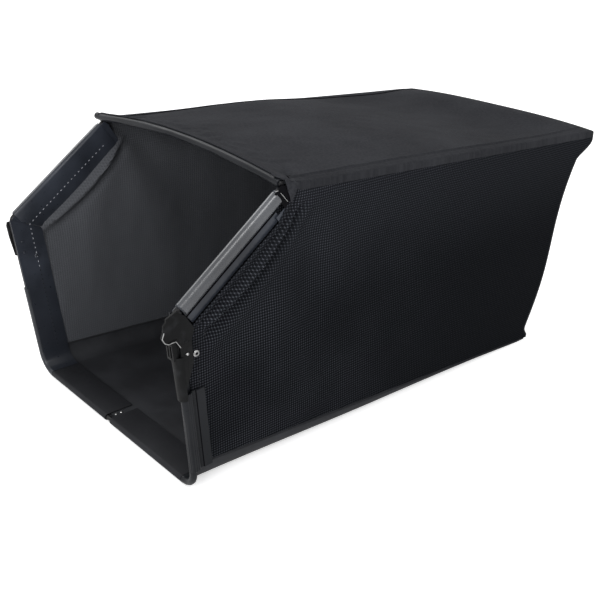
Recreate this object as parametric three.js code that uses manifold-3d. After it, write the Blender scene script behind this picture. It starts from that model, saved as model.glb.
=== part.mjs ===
// Grass collection bag for a walk-behind mower: a bent steel rod frame, PVC clip
// strips that snap over the rod round the mouth, and a sewn cloth bag that hangs on it.
//
// Millimetres, +Z up. While it is built, x is across the bag, y runs from the mouth
// to the rear and z is the height over the ground. The finished bag is then centred.

import * as THREE from 'three';
import { mergeVertices } from 'three/addons/utils/BufferGeometryUtils.js';
import Module from 'manifold-3d';

const wasm = await Module();
wasm.setup();

// Driving dimensions

const BAG_WIDTH = 390;         // over the clip strips at the mouth
const ROD_DIAMETER = 6.4;      // painted steel rod
const TOUCH_GAP = 0.3;         // left between pieces that touch
const CLOTH = 1.2;             // mesh cloth
const VINYL = 1.0;             // coated floor cloth

// Mouth, seen from the side: rod centre lines
const FRONT_BAR_Y = 4.7;       // bottom bar of the mouth
const HOOK_BEND_Y = -13.5;     // bend between leg and slant
const HOOK_BEND_Z = 238.9;
const TOP_BEND_Y = 133;        // bend between slant and top rail
const TOP_BEND_Z = 349.5;
const TOP_BAR_ARCH = 12;       // rise of the cross bar at its middle
const TOP_BAR_RIGHT = 193.5;   // the bar ends over the right slant
const TOP_BAR_LEFT = 205.5;    // and stands out past the left one

// Rear, rod centre lines
const REAR_TOP_Y = 741.5;
const REAR_TOP_Z = 312.5;
const REAR_TOP_HALF_WIDTH = 184;
const FOOT_BAR_Y = 621;
const UPRIGHT_TOP_Y = 706;
const UPRIGHT_INSET = 3;       // inside the top rails

// Bend radii of the rod
const MOUTH_BEND = 24;
const HOOK_BEND = 12;
const TOP_BEND = 14;
const REAR_BEND = 16;
const FOOT_BEND = 18;

// Clip strip section
const CLIP_CLEARANCE = 0.25;   // between rod and clip
const CLIP_WALL = 1.25;
const FLANGE_WIDTH = 38;       // sewing flange, from the rod centre
const SHORT_FLANGE = 22;       // flange of the top strip
const RIDGE_AT = 9;            // end of the clip's outer leg, from the rod centre
const GROOVE_WIDTH = 6;        // sunk band between leg and lip
const LIP_WIDTH = 11;          // raised lip that holds the cloth's edge
const HAIRLINE = 0.35;         // depth of the two fine grooves on the outer leg

// Clip strip runs
const LEG_CLIP_BOTTOM = 30;    // height where the lip starts
const LEG_CLIP_TOP = 136;      // height where the bare rod for the hook starts
const CORNER_REACH = 25;       // of the leg strip along the bottom bar
const STRIP_END_GAP = 1;       // between two strips on one bar
const MIDDLE_JOINT = -8;       // place of the joint on the bottom bar
const JOINT_GAP = 12;
const SLANT_CLIP_START = 0.6;  // behind the hook bend
const SLANT_LIP_END = 23;      // the lip stops before the top bend, from the bend's corner
const SLANT_STRIP_END = 8;     // and the rest of the strip runs on to here
const TOP_CLIP_INSET = 13;     // top strip's end, from the slant's rod

// Hook bracket of the right side
const PLATE = 2.8;
const HOOK_SEAT_Z = 211;       // flat underside that hangs on the mower's pin
const HOOK_SEAT_LENGTH = 7;
const HOOK_NOSE = 21.9;        // reach of the nose in front of the bend
const NOSE_DROP = 1.3;         // of the nose's tip under the seat
const NOSE_LENGTH = 11;        // from the nose's front to the seat
const HOOK_TOP = 5.3;          // over the bend
const BRACKET_TAIL_Z = 152;
const BRACKET_REACH = 13;      // behind the rod
const WEB_LOW_Z = 184;
const WEB_HIGH_Z = 205;
const WEB_DEPTH = 6.8;
const SLOT_WIDTH = 2.6;
const SLOT_HEIGHT = 15;
const RIM = 1.4;               // rolled edge under the nose
const SLEEVE_TOP_Z = 188;      // half-round sleeve in front of the leg
const SLEEVE_FOOT_Z = 131;
const SLEEVE_TOP_RADIUS = 9.3;
const SLEEVE_FOOT_RADIUS = 7.9;
const SLEEVE_BORE = 6.1;

// Plain plate of the left side
const LEFT_PLATE_TOP_Z = 240;
const LEFT_PLATE_FRONT = 11;   // ahead of the rod
const LEFT_PLATE_LOW_Z = 212;

// Rivets
const RIVET_HEAD = 1.9;
const RIVET_SHANK = 1.1;
const RIVET_DOME = 0.7;
const RIVET_HEIGHTS = { upper: 206, lower: 190 };
const RIVET_SETBACK = 6;       // behind the rod centre
const RIVET_CLEARANCE = 0.3;

// Eyelets and floor rivets
const EYELET_Z = 181;
const EYELET_SETBACK = 23;
const EYELET_HEAD = 4.2;
const EYELET_BARREL = 2.8;
const EYELET_HOLE = 2.0;
const EYELET_LIP = 0.8;
const FLOOR_RIVET_YS = [14, 22];

// Cloth
const CLOTH_SETBACK = 11;      // cloth's front edge behind the rod centre
const SIDE_HEM_Z = 30;         // front end of the side panel's lower edge
const SIDE_TOP_Y = 138;        // front end of its upper edge
const FLARE_RUN = 60;          // behind the top bend the cloth starts to flare lower down
const FOOT_Y = 626;            // rear foot of the cloth
const REAR_PULL = 22;          // the cloth reaches out over the rear top bar
const REAR_SWELL = 7;
const FOOT_ROLL = 12;          // rolled seam at the rear foot
const CURL_SHARE = 0.25;       // of the floor's columns, for each rounded edge
const WALL_SLACK = 5;          // inward sag of a side panel
const GATHER = 3;              // folds that run down behind the mouth
const GATHER_FOLDS = 60;
const GATHER_RUN = 90;         // over which the folds fade in behind the flange
const TOP_PUFF = 13;           // the top cloth billows between the bars
const TOP_PUFF_Y = 370;
const TOP_PUFF_SPREAD = 125;
const TOP_SAG = 5;
const TOP_SAG_Y = 610;
const TOP_SAG_SPREAD = 75;
const BAR_SPREAD = 16;         // of the cloth's lift over the cross bar
const ARCH_SPREAD = 150;       // of the bar's arch into the top cloth
const REAR_SLACK = 7;
const BINDING_WIDTH = 9;
const BINDING = 1.1;

const ROD = ROD_DIAMETER / 2;
const CLIP_INSIDE = ROD + CLIP_CLEARANCE;
const CLIP_OUTSIDE = CLIP_INSIDE + CLIP_WALL;
const ROD_X = BAG_WIDTH / 2 - CLIP_OUTSIDE;
const FRONT_BAR_Z = CLIP_OUTSIDE;
const ROD_TO_CLOTH = ROD + TOUCH_GAP + CLOTH;

// Finishes

const steel = { color: 0x0c0c0d, roughness: 0.35, metalness: 0.6 };
const strip = { color: 0x202226, roughness: 0.3, metalness: 0 };
const moulding = { color: 0x141415, roughness: 0.45, metalness: 0 };
const netting = { color: 0x1a1b1e, roughness: 0.9, metalness: 0 };
const topCloth = { color: 0x1d1e20, roughness: 0.95, metalness: 0 };
const vinyl = { color: 0x161718, roughness: 0.5, metalness: 0 };
const tape = { color: 0x111213, roughness: 0.9, metalness: 0 };
const zinc = { color: 0xc8c8c6, roughness: 0.35, metalness: 1 };

// Meshes and solids

function closedBody(points, faces) {
  const geometry = new THREE.BufferGeometry();
  const positions = points.flatMap((p) => [p.x, p.y, p.z]);
  let volume = 0;
  for (const [a, b, c] of faces) volume += points[a].dot(points[b].clone().cross(points[c]));
  const outward = volume > 0 ? faces : faces.map(([a, b, c]) => [a, c, b]);
  geometry.setAttribute('position', new THREE.Float32BufferAttribute(positions, 3));
  geometry.setIndex(outward.flat());
  return geometry;
}

function toSolid(geometry) {
  return new wasm.Manifold(new wasm.Mesh({
    numProp: 3,
    vertProperties: new Float32Array(geometry.attributes.position.array),
    triVerts: new Uint32Array(geometry.index.array),
  }));
}

function toGeometry(solid) {
  const { vertProperties, triVerts } = solid.getMesh();
  const geometry = new THREE.BufferGeometry();
  geometry.setAttribute('position', new THREE.Float32BufferAttribute(vertProperties, 3));
  geometry.setIndex(Array.from(triVerts));
  return geometry;
}

function joined(...geometries) {
  return toGeometry(geometries.map(toSolid).reduce((sum, next) => sum.add(next)));
}

function cut(body, ...tools) {
  return toGeometry(tools.map(toSolid).reduce((rest, tool) => rest.subtract(tool), toSolid(body)));
}

function mirrored(geometry) {
  const copy = geometry.clone();
  copy.scale(-1, 1, 1);
  const index = copy.index.array.slice();
  for (let i = 0; i < index.length; i += 3) [index[i], index[i + 1]] = [index[i + 1], index[i]];
  copy.setIndex(Array.from(index));
  return copy;
}

// A profile swept through stations. Each station has an origin and the two axes
// that carry the profile's own x and y.
function sweep(profile, stations, closed = false) {
  const outline = THREE.ShapeUtils.isClockWise(profile) ? [...profile].reverse() : profile;
  const count = outline.length;
  const points = stations.flatMap(({ o, u, v }) => outline.map(
    (p) => o.clone().addScaledVector(u, p.x).addScaledVector(v, p.y)));
  const faces = [];
  const spans = closed ? stations.length : stations.length - 1;
  for (let i = 0; i < spans; i++) {
    const near = i * count;
    const far = ((i + 1) % stations.length) * count;
    for (let k = 0; k < count; k++) {
      const next = (k + 1) % count;
      faces.push([near + k, near + next, far + next], [near + k, far + next, far + k]);
    }
  }
  if (!closed) {
    const last = (stations.length - 1) * count;
    for (const [a, b, c] of THREE.ShapeUtils.triangulateShape(outline, [])) {
      faces.push([c, b, a], [last + a, last + b, last + c]);
    }
  }
  return closedBody(points, faces);
}

// A sheet of even thickness under an outer surface that is a function of two shares.
function sheet(surface, columns, rows, thickness) {
  const outer = [];
  const inner = [];
  const step = 1e-3;
  for (let i = 0; i <= columns; i++) {
    for (let j = 0; j <= rows; j++) {
      const s = i / columns;
      const t = j / rows;
      const point = surface(s, t);
      const along = surface(Math.min(s + step, 1), t).sub(surface(Math.max(s - step, 0), t));
      const up = surface(s, Math.min(t + step, 1)).sub(surface(s, Math.max(t - step, 0)));
      outer.push(point);
      inner.push(point.clone().addScaledVector(along.cross(up).normalize(), -thickness));
    }
  }
  const points = [...outer, ...inner];
  const at = (i, j) => i * (rows + 1) + j;
  const under = outer.length;
  const faces = [];
  const quad = (a, b, c, d) => faces.push([a, b, c], [a, c, d]);
  for (let i = 0; i < columns; i++) {
    for (let j = 0; j < rows; j++) {
      const [a, b, c, d] = [at(i, j), at(i + 1, j), at(i + 1, j + 1), at(i, j + 1)];
      quad(a, b, c, d);
      quad(under + a, under + d, under + c, under + b);
    }
  }
  const rim = [];
  for (let i = 0; i < columns; i++) rim.push(at(i, 0));
  for (let j = 0; j < rows; j++) rim.push(at(columns, j));
  for (let i = columns; i > 0; i--) rim.push(at(i, rows));
  for (let j = rows; j > 0; j--) rim.push(at(0, j));
  rim.forEach((a, k) => {
    const b = rim[(k + 1) % rim.length];
    quad(a, under + a, under + b, b);
  });
  return closedBody(points, faces);
}

// Paths

const REAR = new THREE.Vector3(0, 1, 0);
const ACROSS = new THREE.Vector3(1, 0, 0);

// Stations along straight runs with round bends at the inner corners. Each corner
// is [x, y, z, bend radius, steps on the run that follows].
function bentPath(corners, bendSteps = 5) {
  const spots = corners.map(([x, y, z]) => new THREE.Vector3(x, y, z));
  const stations = [{ o: spots[0].clone(), t: spots[1].clone().sub(spots[0]).normalize() }];
  for (let i = 1; i < spots.length; i++) {
    const into = spots[i].clone().sub(spots[i - 1]).normalize();
    const last = i === spots.length - 1;
    const onward = last ? into : spots[i + 1].clone().sub(spots[i]).normalize();
    const turn = into.angleTo(onward);
    const radius = corners[i][3] ?? 0;
    const start = spots[i].clone().addScaledVector(into, -radius * Math.tan(turn / 2));
    const from = stations.at(-1).o;
    const steps = corners[i - 1][4] ?? 1;
    for (let k = 1; k <= steps; k++) {
      stations.push({ o: from.clone().lerp(start, k / steps), t: into.clone() });
    }
    if (last || turn < 1e-6) continue;
    const inward = onward.clone().addScaledVector(into, -onward.dot(into)).normalize();
    for (let k = 1; k <= bendSteps; k++) {
      const angle = turn * k / bendSteps;
      stations.push({
        o: start.clone().addScaledVector(into, radius * Math.sin(angle))
          .addScaledVector(inward, radius * (1 - Math.cos(angle))),
        t: into.clone().multiplyScalar(Math.cos(angle)).addScaledVector(inward, Math.sin(angle)),
      });
    }
  }
  return stations;
}

// The profile's x points along the reference as far as the path allows.
function framed(stations, reference) {
  return stations.map(({ o, t }) => {
    const u = reference.clone().addScaledVector(t, -reference.dot(t)).normalize();
    return { o, t, u, v: u.clone().cross(t) };
  });
}

function lengths(stations) {
  let total = 0;
  return stations.map(({ o }, i) => {
    if (i) total += o.distanceTo(stations[i - 1].o);
    return total;
  });
}

// Length along the path where one coordinate first reaches a value.
function lengthAt(stations, axis, value) {
  const along = lengths(stations);
  for (let i = 1; i < stations.length; i++) {
    const [a, b] = [stations[i - 1].o[axis], stations[i].o[axis]];
    if (a !== b && (a - value) * (b - value) <= 0) {
      return along[i - 1] + (along[i] - along[i - 1]) * (value - a) / (b - a);
    }
  }
  throw new Error(`the path never reaches ${axis} ${value}`);
}

// The part of a path between two lengths.
function stretch(stations, from, to) {
  const along = lengths(stations);
  const cutAt = (length) => {
    const i = Math.max(1, along.findIndex((l) => l >= length - 1e-9));
    const share = (length - along[i - 1]) / (along[i] - along[i - 1]);
    const [a, b] = [stations[i - 1], stations[i]];
    return { o: a.o.clone().lerp(b.o, share), t: a.t.clone().lerp(b.t, share).normalize() };
  };
  const inside = stations.filter((_, i) => along[i] > from + 1e-3 && along[i] < to - 1e-3);
  return [cutAt(from), ...inside, cutAt(to)];
}

function mirroredPath(stations) {
  return stations.map(({ o, t }) => ({
    o: new THREE.Vector3(-o.x, o.y, o.z),
    t: new THREE.Vector3(t.x, -t.y, -t.z),
  })).reverse();
}

function circle(radius, sides) {
  return Array.from({ length: sides }, (_, k) => {
    const angle = 2 * Math.PI * (k + 0.5) / sides;
    return new THREE.Vector2(radius * Math.cos(angle), radius * Math.sin(angle));
  });
}

function arc(radius, fromDegrees, toDegrees, steps) {
  return Array.from({ length: steps + 1 }, (_, k) => {
    const angle = THREE.MathUtils.degToRad(THREE.MathUtils.lerp(fromDegrees, toDegrees, k / steps));
    return new THREE.Vector2(radius * Math.cos(angle), radius * Math.sin(angle));
  });
}

const spots2 = (pairs) => pairs.map(([x, y]) => new THREE.Vector2(x, y));

// Frame rods. The main loop runs from the middle of the bottom bar up one side of
// the mouth and along the top rail to the middle of the rear top bar.

const ROD_SECTION = circle(ROD, 10);

const loopHalf = bentPath([
  [0, FRONT_BAR_Y, FRONT_BAR_Z],
  [ROD_X, FRONT_BAR_Y, FRONT_BAR_Z, MOUTH_BEND],
  [ROD_X, HOOK_BEND_Y, HOOK_BEND_Z, HOOK_BEND],
  [ROD_X, TOP_BEND_Y, TOP_BEND_Z, TOP_BEND],
  [REAR_TOP_HALF_WIDTH, REAR_TOP_Y, REAR_TOP_Z, REAR_BEND],
  [0, REAR_TOP_Y, REAR_TOP_Z],
]);

const UP_AND_BACK = new THREE.Vector3(0, 0.8, -0.6);

function ringed(half) {
  return [...half.slice(0, -1), ...mirroredPath(half).slice(0, -1)];
}

function mainLoop() {
  const frames = framed(ringed(loopHalf), UP_AND_BACK);
  return sweep(ROD_SECTION, frames, true);
}

const legAt = (z) => THREE.MathUtils.mapLinear(
  z, FRONT_BAR_Z, HOOK_BEND_Z, FRONT_BAR_Y, HOOK_BEND_Y);
const railAt = (y) => ({
  x: THREE.MathUtils.mapLinear(y, TOP_BEND_Y, REAR_TOP_Y, ROD_X, REAR_TOP_HALF_WIDTH),
  z: THREE.MathUtils.mapLinear(y, TOP_BEND_Y, REAR_TOP_Y, TOP_BEND_Z, REAR_TOP_Z),
});

// The cross bar lies on the outside of the loop's top bends.
const slantTurn = Math.atan2(TOP_BEND_Z - HOOK_BEND_Z, TOP_BEND_Y - HOOK_BEND_Y);
const railTurn = Math.atan2(REAR_TOP_Z - TOP_BEND_Z, REAR_TOP_Y - TOP_BEND_Y);
const bendMiddle = (slantTurn + railTurn) / 2;
const bendSag = TOP_BEND * (1 / Math.cos((slantTurn - railTurn) / 2) - 1);
const barOffset = 2 * ROD + TOUCH_GAP - bendSag;
const TOP_BAR_Y = TOP_BEND_Y - barOffset * Math.sin(bendMiddle);
const TOP_BAR_Z = TOP_BEND_Z + barOffset * Math.cos(bendMiddle);

const archAt = (x) => TOP_BAR_ARCH * Math.max(0, 1 - (x / ROD_X) ** 2);

function topBarPath(right, left, steps) {
  return Array.from({ length: steps + 1 }, (_, k) => {
    const x = THREE.MathUtils.lerp(right, -left, k / steps);
    const slope = Math.abs(x) < ROD_X ? 2 * TOP_BAR_ARCH * x / ROD_X ** 2 : 0;
    return {
      o: new THREE.Vector3(x, TOP_BAR_Y, TOP_BAR_Z + archAt(x)),
      t: new THREE.Vector3(-1, 0, slope).normalize(),
    };
  });
}

function topCrossBar() {
  return sweep(ROD_SECTION, framed(topBarPath(TOP_BAR_RIGHT, TOP_BAR_LEFT, 18), REAR));
}

// The rear frame hangs under the top rails: two uprights and the foot bar.
const FOOT_BAR_Z = VINYL + TOUCH_GAP + ROD;

function rearFrame() {
  const rail = railAt(UPRIGHT_TOP_Y);
  const head = new THREE.Vector3(rail.x - UPRIGHT_INSET, UPRIGHT_TOP_Y, rail.z);
  const foot = new THREE.Vector3(head.x, FOOT_BAR_Y, FOOT_BAR_Z);
  const along = head.clone().sub(foot).normalize();
  const tilt = Math.atan2(along.y, along.z) + railTurn;
  const seat = (ROD + TOUCH_GAP) / Math.cos(tilt) + ROD * Math.tan(Math.abs(tilt));
  head.addScaledVector(along, -seat);
  const half = bentPath([head.toArray(), [...foot.toArray(), FOOT_BEND], [0, foot.y, foot.z]]);
  return sweep(ROD_SECTION, framed([...half, ...mirroredPath(half).slice(1)], UP_AND_BACK));
}

// Clip strips. In the section, x runs into the bag along the wall and y outwards.

const clipBack = -CLIP_OUTSIDE;
const flangeFace = -CLIP_INSIDE;

function clipSection(flange) {
  return [
    ...spots2([[flange, clipBack]]),
    ...arc(CLIP_OUTSIDE, -90, -300, 10),
    ...arc(CLIP_INSIDE, -300, -90, 8),
    ...spots2([[flange, flangeFace]]),
  ];
}

function lippedSection() {
  const crest = CLIP_OUTSIDE;
  const ridge = crest - 1.5;
  const groove = crest - 3.9;
  const lip = crest - 2.2;
  const grooveEnd = RIDGE_AT + GROOVE_WIDTH;
  const lipEnd = grooveEnd + LIP_WIDTH;
  const hairlines = [2.6, 5.6].flatMap((x) => {
    const top = crest - 1.5 * (x / RIDGE_AT) ** 2;
    return [[x - 0.4, top], [x, top - HAIRLINE], [x + 0.4, top]];
  });
  return [
    ...spots2([[FLANGE_WIDTH, clipBack]]),
    ...arc(CLIP_OUTSIDE, -90, -270, 8),
    ...spots2(hairlines),
    ...spots2([[RIDGE_AT, ridge], [RIDGE_AT + 0.6, groove]]),
    ...spots2([[grooveEnd - 0.6, groove], [grooveEnd, lip], [lipEnd, lip], [lipEnd, lip - 1.4]]),
    ...spots2([[grooveEnd + 0.4, groove - 1.3], [RIDGE_AT - 0.6, groove - 1.3]]),
    ...spots2([[RIDGE_AT - 1.4, ridge - 1.2]]),
    ...arc(CLIP_INSIDE, -280, -90, 7),
    ...spots2([[FLANGE_WIDTH, flangeFace]]),
  ];
}

function stripSection() {
  return spots2([
    [-CLIP_INSIDE, clipBack], [FLANGE_WIDTH, clipBack], [FLANGE_WIDTH, flangeFace],
    [-CLIP_INSIDE, flangeFace],
  ]);
}

const mouthPath = (from, to) => framed(stretch(loopHalf, from, to), REAR);
const legLength = (z) => lengthAt(loopHalf, 'z', z);

// Directions of leg and slant, and lengths along the loop measured on the slant.
const legTurn = Math.atan2(HOOK_BEND_Z - FRONT_BAR_Z, HOOK_BEND_Y - FRONT_BAR_Y);
const hookReach = HOOK_BEND * Math.tan((legTurn - slantTurn) / 2);
const slantLength = (fromHook) => lengthAt(
  loopHalf, 'z', HOOK_BEND_Z + (hookReach + fromHook) * Math.sin(slantTurn));
const slantEnd = lengthAt(loopHalf, 'y', TOP_BEND_Y - 2);
const beforeTop = (distance) => lengthAt(
  loopHalf, 'y', TOP_BEND_Y - distance * Math.cos(slantTurn));

// The flanges of leg and slant meet on the line that halves the hook bend. This block
// covers one side of that line and half the gap: +1 above, -1 below.
function besideMitre(side) {
  const halving = (slantTurn + legTurn - Math.PI) / 2;
  const [cos, sin] = [Math.cos(halving), Math.sin(halving)];
  const near = -side * STRIP_END_GAP / 2;
  const far = side * 2 * FLANGE_WIDTH;
  const ends = [-FLANGE_WIDTH, 2 * FLANGE_WIDTH];
  const corner = (along, across) => [
    HOOK_BEND_Y + along * cos - across * sin, HOOK_BEND_Z + along * sin + across * cos];
  return sideBlock(ROD_X + 2 * clipBack, ROD_X + flangeFace + TOUCH_GAP / 2, [
    corner(ends[0], near), corner(ends[1], near), corner(ends[1], far), corner(ends[0], far)]);
}

// The lip and its groove, beside the upper end of the slant's strip.
function pastLip() {
  const { o, t, u } = mouthPath(beforeTop(SLANT_LIP_END), slantEnd)[0];
  const corner = (behind, along) => {
    const p = o.clone().addScaledVector(u, behind).addScaledVector(t, along);
    return [p.y, p.z];
  };
  const [near, far] = [RIDGE_AT + 0.3, 2 * FLANGE_WIDTH];
  return sideBlock(ROD_X + flangeFace + TOUCH_GAP / 2, ROD_X + 2 * CLIP_OUTSIDE, [
    corner(near, 0), corner(far, 0), corner(far, far), corner(near, far)]);
}

function upperChannel() {
  const path = mouthPath(slantLength(SLANT_CLIP_START), beforeTop(SLANT_STRIP_END));
  return cut(sweep(lippedSection(), path), besideMitre(-1), pastLip());
}

function lowerChannel() {
  const hem = legLength(LEG_CLIP_BOTTOM);
  const bare = legLength(LEG_CLIP_TOP);
  const corner = sweep(clipSection(FLANGE_WIDTH), mouthPath(ROD_X - CORNER_REACH, hem));
  const leg = sweep(lippedSection(), mouthPath(hem, bare));
  const legLine = [LEG_CLIP_TOP, HOOK_BEND_Z + CLIP_OUTSIDE].map((z) => [ROD_X, legAt(z), z]);
  const behindHook = sweep(stripSection(), framed(bentPath(legLine), REAR));
  return cut(joined(corner, leg, behindHook), besideMitre(1), ...bracketHoles(), eyeletHole());
}

function bottomChannel(from, to) {
  const stations = bentPath([
    [from, FRONT_BAR_Y, FRONT_BAR_Z], [to, FRONT_BAR_Y, FRONT_BAR_Z],
  ]);
  return sweep(clipSection(FLANGE_WIDTH), framed(stations, REAR));
}

function topChannel() {
  const reach = ROD_X - TOP_CLIP_INSET;
  return sweep(clipSection(SHORT_FLANGE), framed(topBarPath(reach, reach, 16), REAR));
}

// Hook bracket of the right side: a flat plate outside the wall with the hook's nose,
// a slotted web and a half-round sleeve in front of the rod, and a plate inside the
// flange. The left side has a plain plate in place of it.

const plateInside = ROD_X + CLIP_OUTSIDE + TOUCH_GAP;
const bracketInner = ROD_X - CLIP_OUTSIDE - TOUCH_GAP;

// An outline in the side view, given as [y, z], with its thickness along x.
function sideBlock(fromX, toX, outline) {
  const ends = [fromX, toX].map((x) => ({
    o: new THREE.Vector3(x, 0, 0), u: REAR, v: new THREE.Vector3(0, 0, 1),
  }));
  return sweep(spots2(outline), ends);
}

const noseFront = HOOK_BEND_Y - HOOK_NOSE;
const seatFront = noseFront + NOSE_LENGTH;
const seatRear = seatFront + HOOK_SEAT_LENGTH;
const neckZ = HOOK_SEAT_Z - 1.5 * HOOK_SEAT_LENGTH;

// The hook's lower line, from the front of the nose to the neck under the seat.
function noseLine() {
  const tip = HOOK_SEAT_Z - NOSE_DROP;
  const [low, high] = [0.13 * HOOK_NOSE, 0.39 * HOOK_NOSE];
  return [
    [noseFront + 0.12 * HOOK_NOSE, tip + 2 * high - low], [noseFront, tip + high],
    [noseFront + 0.13 * HOOK_NOSE, tip + low], [noseFront + 0.25 * HOOK_NOSE, tip],
    [noseFront + 0.35 * HOOK_NOSE, tip], [seatFront, HOOK_SEAT_Z], [seatRear, HOOK_SEAT_Z],
    [legAt(neckZ) - 0.65 * ROD, neckZ],
  ];
}

function hookOutline() {
  const tail = legAt(BRACKET_TAIL_Z);
  const shoulder = (z) => [legAt(z) + BRACKET_REACH, z];
  return [
    [tail - 0.5 * ROD, BRACKET_TAIL_Z],
    [tail + 0.75 * ROD, BRACKET_TAIL_Z],
    shoulder(WEB_LOW_Z - HOOK_SEAT_LENGTH),
    shoulder(WEB_HIGH_Z),
    [HOOK_BEND_Y + 0.9 * HOOK_NOSE, HOOK_BEND_Z - 3.8 * HOOK_TOP],
    [HOOK_BEND_Y + 0.42 * HOOK_NOSE, HOOK_BEND_Z - 0.6 * HOOK_TOP],
    [HOOK_BEND_Y - 0.11 * HOOK_NOSE, HOOK_BEND_Z + HOOK_TOP],
    [HOOK_BEND_Y - 0.41 * HOOK_NOSE, HOOK_BEND_Z + 0.53 * HOOK_TOP],
    [HOOK_BEND_Y - 0.7 * HOOK_NOSE, HOOK_BEND_Z],
    [HOOK_BEND_Y - 0.69 * HOOK_NOSE, HOOK_BEND_Z - 0.7 * HOOK_TOP],
    [HOOK_BEND_Y - 0.86 * HOOK_NOSE, HOOK_BEND_Z - 1.3 * HOOK_TOP],
    ...noseLine(),
  ];
}

// The rolled edge follows the hook's lower line.
function noseRim() {
  const line = noseLine();
  return [...line, ...line.map(([y, z]) => [y + 0.75 * RIM, z + 0.85 * RIM]).reverse()];
}

function sleeve() {
  const halfRing = [
    ...arc(SLEEVE_FOOT_RADIUS, 90, 270, 8), ...arc(SLEEVE_BORE, 270, 90, 8)];
  const line = [SLEEVE_FOOT_Z, SLEEVE_TOP_Z].map((z) => [ROD_X, legAt(z), z]);
  const [foot, head] = framed(bentPath(line), REAR);
  const growth = SLEEVE_TOP_RADIUS / SLEEVE_FOOT_RADIUS;
  head.u.multiplyScalar(growth);
  head.v.multiplyScalar(growth);
  return sweep(halfRing, [foot, head]);
}

function hookBracket() {
  const outer = sideBlock(plateInside, plateInside + PLATE, hookOutline());
  const webBack = (z) => legAt(z) - CLIP_INSIDE - TOUCH_GAP;
  const webFace = (z) => webBack(z) - WEB_DEPTH;
  const webMiddle = (bracketInner - PLATE + plateInside) / 2;
  const web = sideBlock(bracketInner - PLATE, plateInside, [
    [webFace(WEB_LOW_Z), WEB_LOW_Z], [webBack(WEB_LOW_Z), WEB_LOW_Z],
    [webBack(WEB_HIGH_Z), WEB_HIGH_Z], [webFace(WEB_HIGH_Z), WEB_HIGH_Z],
  ]);
  const innerTop = WEB_HIGH_Z + HOOK_SEAT_LENGTH;
  const inner = sideBlock(bracketInner - PLATE, bracketInner, [
    [webFace(WEB_LOW_Z), WEB_LOW_Z], [legAt(WEB_LOW_Z) + 0.7 * BRACKET_REACH, WEB_LOW_Z],
    [legAt(WEB_HIGH_Z) + BRACKET_REACH, WEB_HIGH_Z],
    [legAt(innerTop) + 0.7 * BRACKET_REACH, innerTop], [webFace(innerTop), innerTop],
  ]);
  const rim = sideBlock(plateInside + PLATE / 2, plateInside + PLATE + RIM, noseRim());
  const slotTop = WEB_HIGH_Z - SLOT_WIDTH;
  const slotFront = webFace(slotTop) - WEB_DEPTH;
  const slots = [webMiddle - SLOT_WIDTH, webMiddle + SLOT_WIDTH].map((x) => sideBlock(
    x - SLOT_WIDTH / 2, x + SLOT_WIDTH / 2, [
      [slotFront, slotTop - SLOT_HEIGHT], [legAt(slotTop), slotTop - SLOT_HEIGHT],
      [legAt(slotTop), slotTop], [slotFront, slotTop],
    ]));
  return cut(joined(outer, web, inner, rim, sleeve()), ...slots, ...bracketHoles());
}

function leftPlate() {
  const low = RIVET_HEIGHTS.lower - 3 * RIVET_HEAD;
  const outer = sideBlock(plateInside, plateInside + PLATE, [
    [legAt(low) - ROD, low], [legAt(low) + BRACKET_REACH, low],
    [legAt(LEFT_PLATE_LOW_Z) + BRACKET_REACH, LEFT_PLATE_LOW_Z],
    [legAt(LEFT_PLATE_TOP_Z) + ROD, LEFT_PLATE_TOP_Z], [legAt(LEFT_PLATE_TOP_Z) - ROD, LEFT_PLATE_TOP_Z],
    [legAt(LEFT_PLATE_TOP_Z) - LEFT_PLATE_FRONT, LEFT_PLATE_TOP_Z - LEFT_PLATE_FRONT],
    [legAt(LEFT_PLATE_LOW_Z) - LEFT_PLATE_FRONT, LEFT_PLATE_LOW_Z],
  ]);
  return mirrored(cut(outer, ...bracketHoles()));
}

// A round piece turned about an axis along x, or upright.
function turned(profile, x, y, z, upright = false) {
  const lathe = new THREE.LatheGeometry(spots2(profile), 10);
  if (upright) lathe.rotateX(Math.PI / 2);
  else lathe.rotateZ(-Math.PI / 2);
  lathe.translate(x, y, z);
  lathe.deleteAttribute('normal');
  lathe.deleteAttribute('uv');
  const merged = mergeVertices(lathe, 1e-4);
  const { position } = merged.attributes;
  const points = Array.from({ length: position.count },
    (_, i) => new THREE.Vector3().fromBufferAttribute(position, i));
  const faces = [];
  for (let i = 0; i < merged.index.count; i += 3) {
    const [a, b, c] = [0, 1, 2].map((k) => merged.index.getX(i + k));
    if (a !== b && b !== c && c !== a) faces.push([a, b, c]);
  }
  return closedBody(points, faces);
}

const rivetSpot = (z) => [legAt(z) + RIVET_SETBACK, z];
const eyeletSpot = [legAt(EYELET_Z) + EYELET_SETBACK, EYELET_Z];
const wallReach = 30;

function drilled(radius, [y, z]) {
  return turned([[0, -wallReach], [radius, -wallReach], [radius, wallReach], [0, wallReach]],
    ROD_X, y, z);
}

function bracketHoles() {
  return Object.values(RIVET_HEIGHTS).map(
    (z) => drilled(RIVET_SHANK + RIVET_CLEARANCE, rivetSpot(z)));
}

function eyeletHole() {
  return drilled(EYELET_BARREL + RIVET_CLEARANCE, eyeletSpot);
}

// A rivet whose inner head lies against the face at the given x.
function bracketRivet(z, innerFace) {
  const outer = plateInside + PLATE + TOUCH_GAP;
  const inner = innerFace - TOUCH_GAP;
  const span = outer - inner;
  const profile = [
    [0, -RIVET_DOME], [RIVET_HEAD * 0.7, -RIVET_DOME], [RIVET_HEAD, 0], [RIVET_SHANK, 0],
    [RIVET_SHANK, span], [RIVET_HEAD, span], [RIVET_HEAD * 0.7, span + RIVET_DOME],
    [0, span + RIVET_DOME],
  ];
  const [y, height] = rivetSpot(z);
  return turned(profile, inner, y, height);
}

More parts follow.
